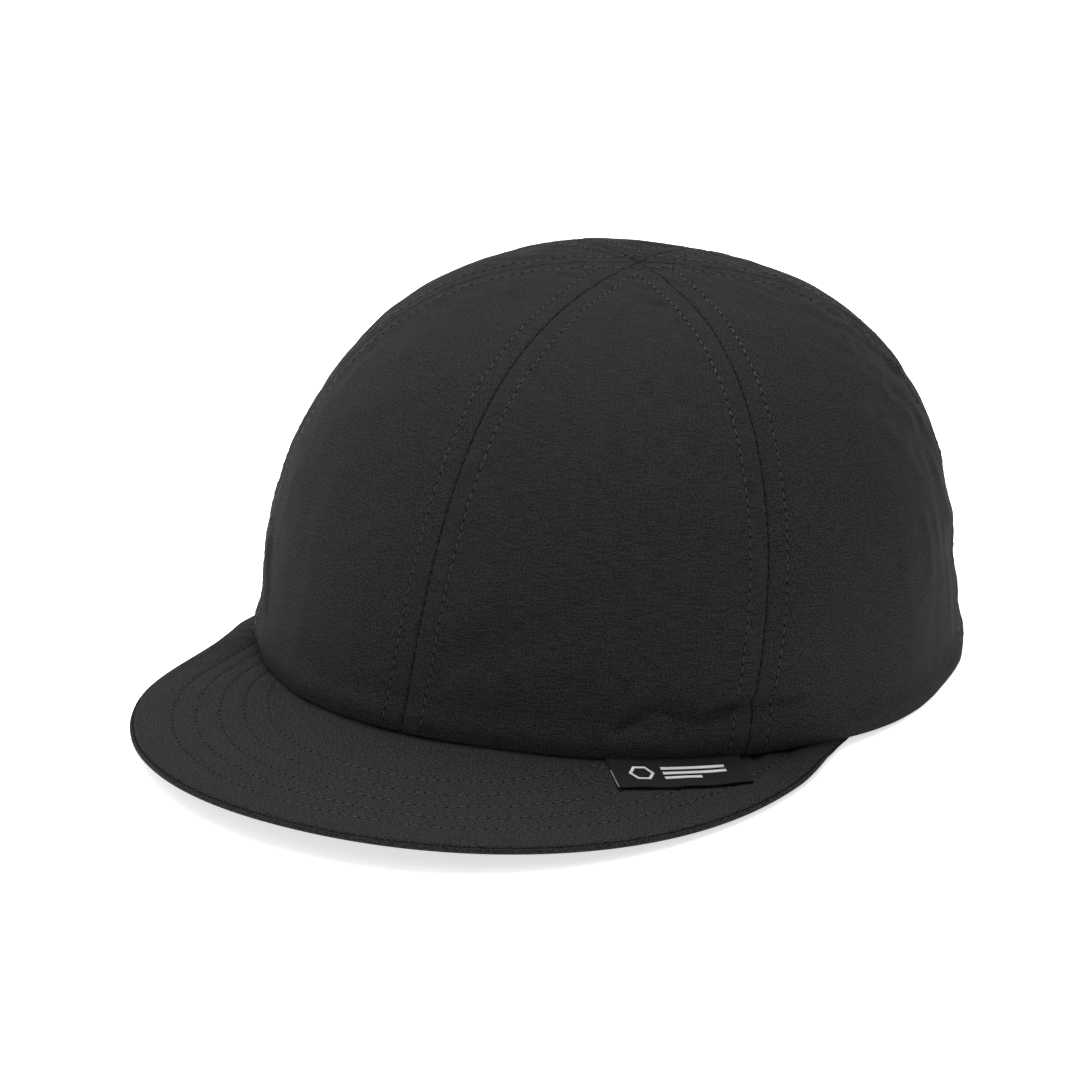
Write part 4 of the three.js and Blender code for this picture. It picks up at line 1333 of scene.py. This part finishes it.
def ribs(x, y, centre):
    return 0.05 * np.sin(TURN * x / 1.5) * (0.6 + 0.4 * np.cos(TURN * y / 2.3)) - 0.05


strap = soft_slab("strap_webbing", strap_surface, STRAP_SIZE, STRAP_THICK, (620, 36), webbing, ribs, 0.8)
finish_piece(strap, "adjuster_strap", "strap")
strap_runs = [line_on(strap_surface, share, 0.02, 0.94, 0.5) for share in (0.13, 0.87)]
sew("strap_stitching", strap_runs, black_thread, "webbing", "strap")


def clasp_to_row(local):
    """From the clasp's own axes (x along the strap, y out, z across) to the part's frame."""
    x, y, z = np.moveaxis(local, -1, 0)
    z, y = turned(z, y, CONE_TILT)
    x, y = turned(x, y + CONE_RADIUS - STRAP_DEPTH - STRAP_THICK / 2, CLASP_TURN)
    return to_row(joined(x, y, z + STRAP_HEIGHT))


def tab_bend(x):
    """How far the tab has bent inwards with the crown, at a place along it."""
    return (x * x - TAB_BAR[0] ** 2) / (2 * (CONE_RADIUS - STRAP_DEPTH))


def tab_path(share):
    """The tab's webbing in side view: along the top ply, round the bar, back along the lower ply."""
    x0, y0, rod = TAB_BAR
    loop = rod + 0.35 + TAB_PLY / 2
    gap = TAB_PLY / 2 + 0.06
    meet = math.asin(gap / loop)
    joint = x0 + loop * math.cos(meet)
    straight = TAB_TAIL - joint
    arc = (TURN - 2 * meet) * loop
    s = share * (2 * straight + arc)
    turn = meet + (s - straight) / loop
    top, low = s < straight, s > straight + arc
    back = TAB_TAIL - 2 * straight - arc + s
    x = np.where(top, TAB_TAIL - s, np.where(low, back, x0 + loop * np.cos(turn)))
    ply = y0 - tab_bend(x) * smooth(x, joint, joint + 2) + np.where(top, gap, -gap)
    return x, np.where(top | low, ply, y0 + loop * np.sin(turn))


def tab_surface(u, v):
    x, y = tab_path(u)
    x1, y1 = tab_path(np.clip(u + 0.003, 0, 1))
    x2, y2 = tab_path(np.clip(u - 0.003, 0, 1))
    tangent = unit(joined(x1 - x2, y1 - y2))
    out = joined(tangent[..., 1], -tangent[..., 0], 0 * x)
    return both_to_row(joined(x, y, (v - 0.5) * TAB_WIDTH), out, clasp_to_row)


tab = soft_slab("clasp_tab_webbing", tab_surface, (50, TAB_WIDTH), TAB_PLY, (260, 34), webbing, ribs, 0.8)
finish_piece(tab, "clasp_tab")


def box_stitch_run():
    """A square of stitching with a cross, through both plies of the tab."""
    corners = np.array([(16, -5), (28, -5), (28, 5), (16, 5), (16, -5), (28, 5), (28, -5), (16, 5)])
    steps = np.linspace(0, len(corners) - 1, 29 * (len(corners) - 1) + 1)
    x, z = (np.interp(steps, np.arange(len(corners)), column) for column in corners.T)
    local = joined(x, TAB_BAR[1] - tab_bend(x) + 0.98, z)
    return both_to_row(local, np.array([0, 1.0, 0]), clasp_to_row)


sew("tab_stitching", [box_stitch_run()], black_thread, "webbing", pitch=2.2, length=1.8)


def dress_node(node, material, bevel=None):
    """A carried-over CAD solid: its finish, and softened edges where it is moulded or pressed."""
    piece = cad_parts[node]
    if not piece.material_slots:
        piece.data.materials.append(material)
    for slot in piece.material_slots:
        slot.material = material
    if bevel:
        edge = piece.modifiers.new("edges", "BEVEL")
        edge.width = bevel * MM
        edge.segments = 3
        edge.limit_method = "ANGLE"
        edge.angle_limit = math.radians(35)
        edge.harden_normals = False


dress_node("clasp_frame", clasp_metal, 0.18)
dress_node("clasp_pin", clasp_metal, 0.12)
dress_node("clasp_lever", clasp_metal, 0.22)
dress_node("brim_board", stiff_board)

# ---- Camera, floor and light ----

CAMERA = {"azimuth": 30.854, "elevation": 21.721, "distance": 2000.0, "aside": -15.301, "up": 28.804,
          "focal": 7484.5, "frame": 1080}
LAMP_TARGET = Vector((0, 0, 0.04))
FLOOR_HALF = 6.0


def aim(thing, location, back):
    """Stands a camera or a lamp at a place, looking away from its back."""
    thing.location = location
    thing.rotation_mode = "QUATERNION"
    thing.rotation_quaternion = back.to_track_quat("Z", "Y")


def place_camera():
    azimuth, elevation = math.radians(CAMERA["azimuth"]), math.radians(CAMERA["elevation"])
    right = Vector((math.cos(azimuth), math.sin(azimuth), 0))
    level = Vector((math.sin(azimuth), -math.cos(azimuth), 0))
    back = level * math.cos(elevation) + Vector((0, 0, math.sin(elevation)))
    target = right * CAMERA["aside"] + back.cross(right) * CAMERA["up"] + Vector(ROW_SHIFT)
    data = bpy.data.cameras.new("camera")
    data.lens = CAMERA["focal"] / CAMERA["frame"] * data.sensor_width
    data.clip_start = 0.05
    data.clip_end = 50
    bpy.context.scene.camera = add_object("camera", data)
    aim(bpy.context.scene.camera, (target + back * CAMERA["distance"]) * MM, back)


def soft_light(name, location, size, power):
    data = bpy.data.lights.new(name, "AREA")
    data.shape = "RECTANGLE"
    data.size, data.size_y = size
    data.energy = power
    aim(add_object(name, data), location, Vector(location) - LAMP_TARGET)


def floor():
    paper = Shader("floor_paper", (0.93, 0.93, 0.93), 0.9, specular=0.1)
    paper.fill(paper.shader, Emission_Color=(1, 1, 1, 1), Emission_Strength=0.68)
    corners = np.array([[-1, -1, 0], [1, -1, 0], [1, 1, 0], [-1, 1, 0]]) * FLOOR_HALF
    raw_mesh("floor", corners, np.array([[0, 1, 2, 3]]), paper.material)


def sky():
    """A dome of light, brighter overhead and dimmer towards the wearer's left."""
    world = bpy.data.worlds.new("studio")
    dome = Nodes(world)
    way = dome.add("TexCoord").outputs["Generated"]
    climb = dome.math("DOT_PRODUCT", way, (-0.35, 0.0, 1.0), kind="VectorMath")
    strength = dome.map_range(climb, To_Min=0.06, To_Max=0.85)
    dome.fill(dome.tree.nodes["Background"], Color=(1, 1, 1, 1), Strength=strength)
    bpy.context.scene.world = world


place_camera()
floor()
sky()
soft_light("key_light", (-0.6, 0.0, 1.6), (1.4, 1.2), 10)
soft_light("top_light", (-0.1, 0.6, 1.6), (1.4, 1.2), 27)
soft_light("front_light", (-0.1, -1.6, 1.0), (1.4, 1.0), 2.5)
bpy.context.scene.view_settings.view_transform = "Standard"
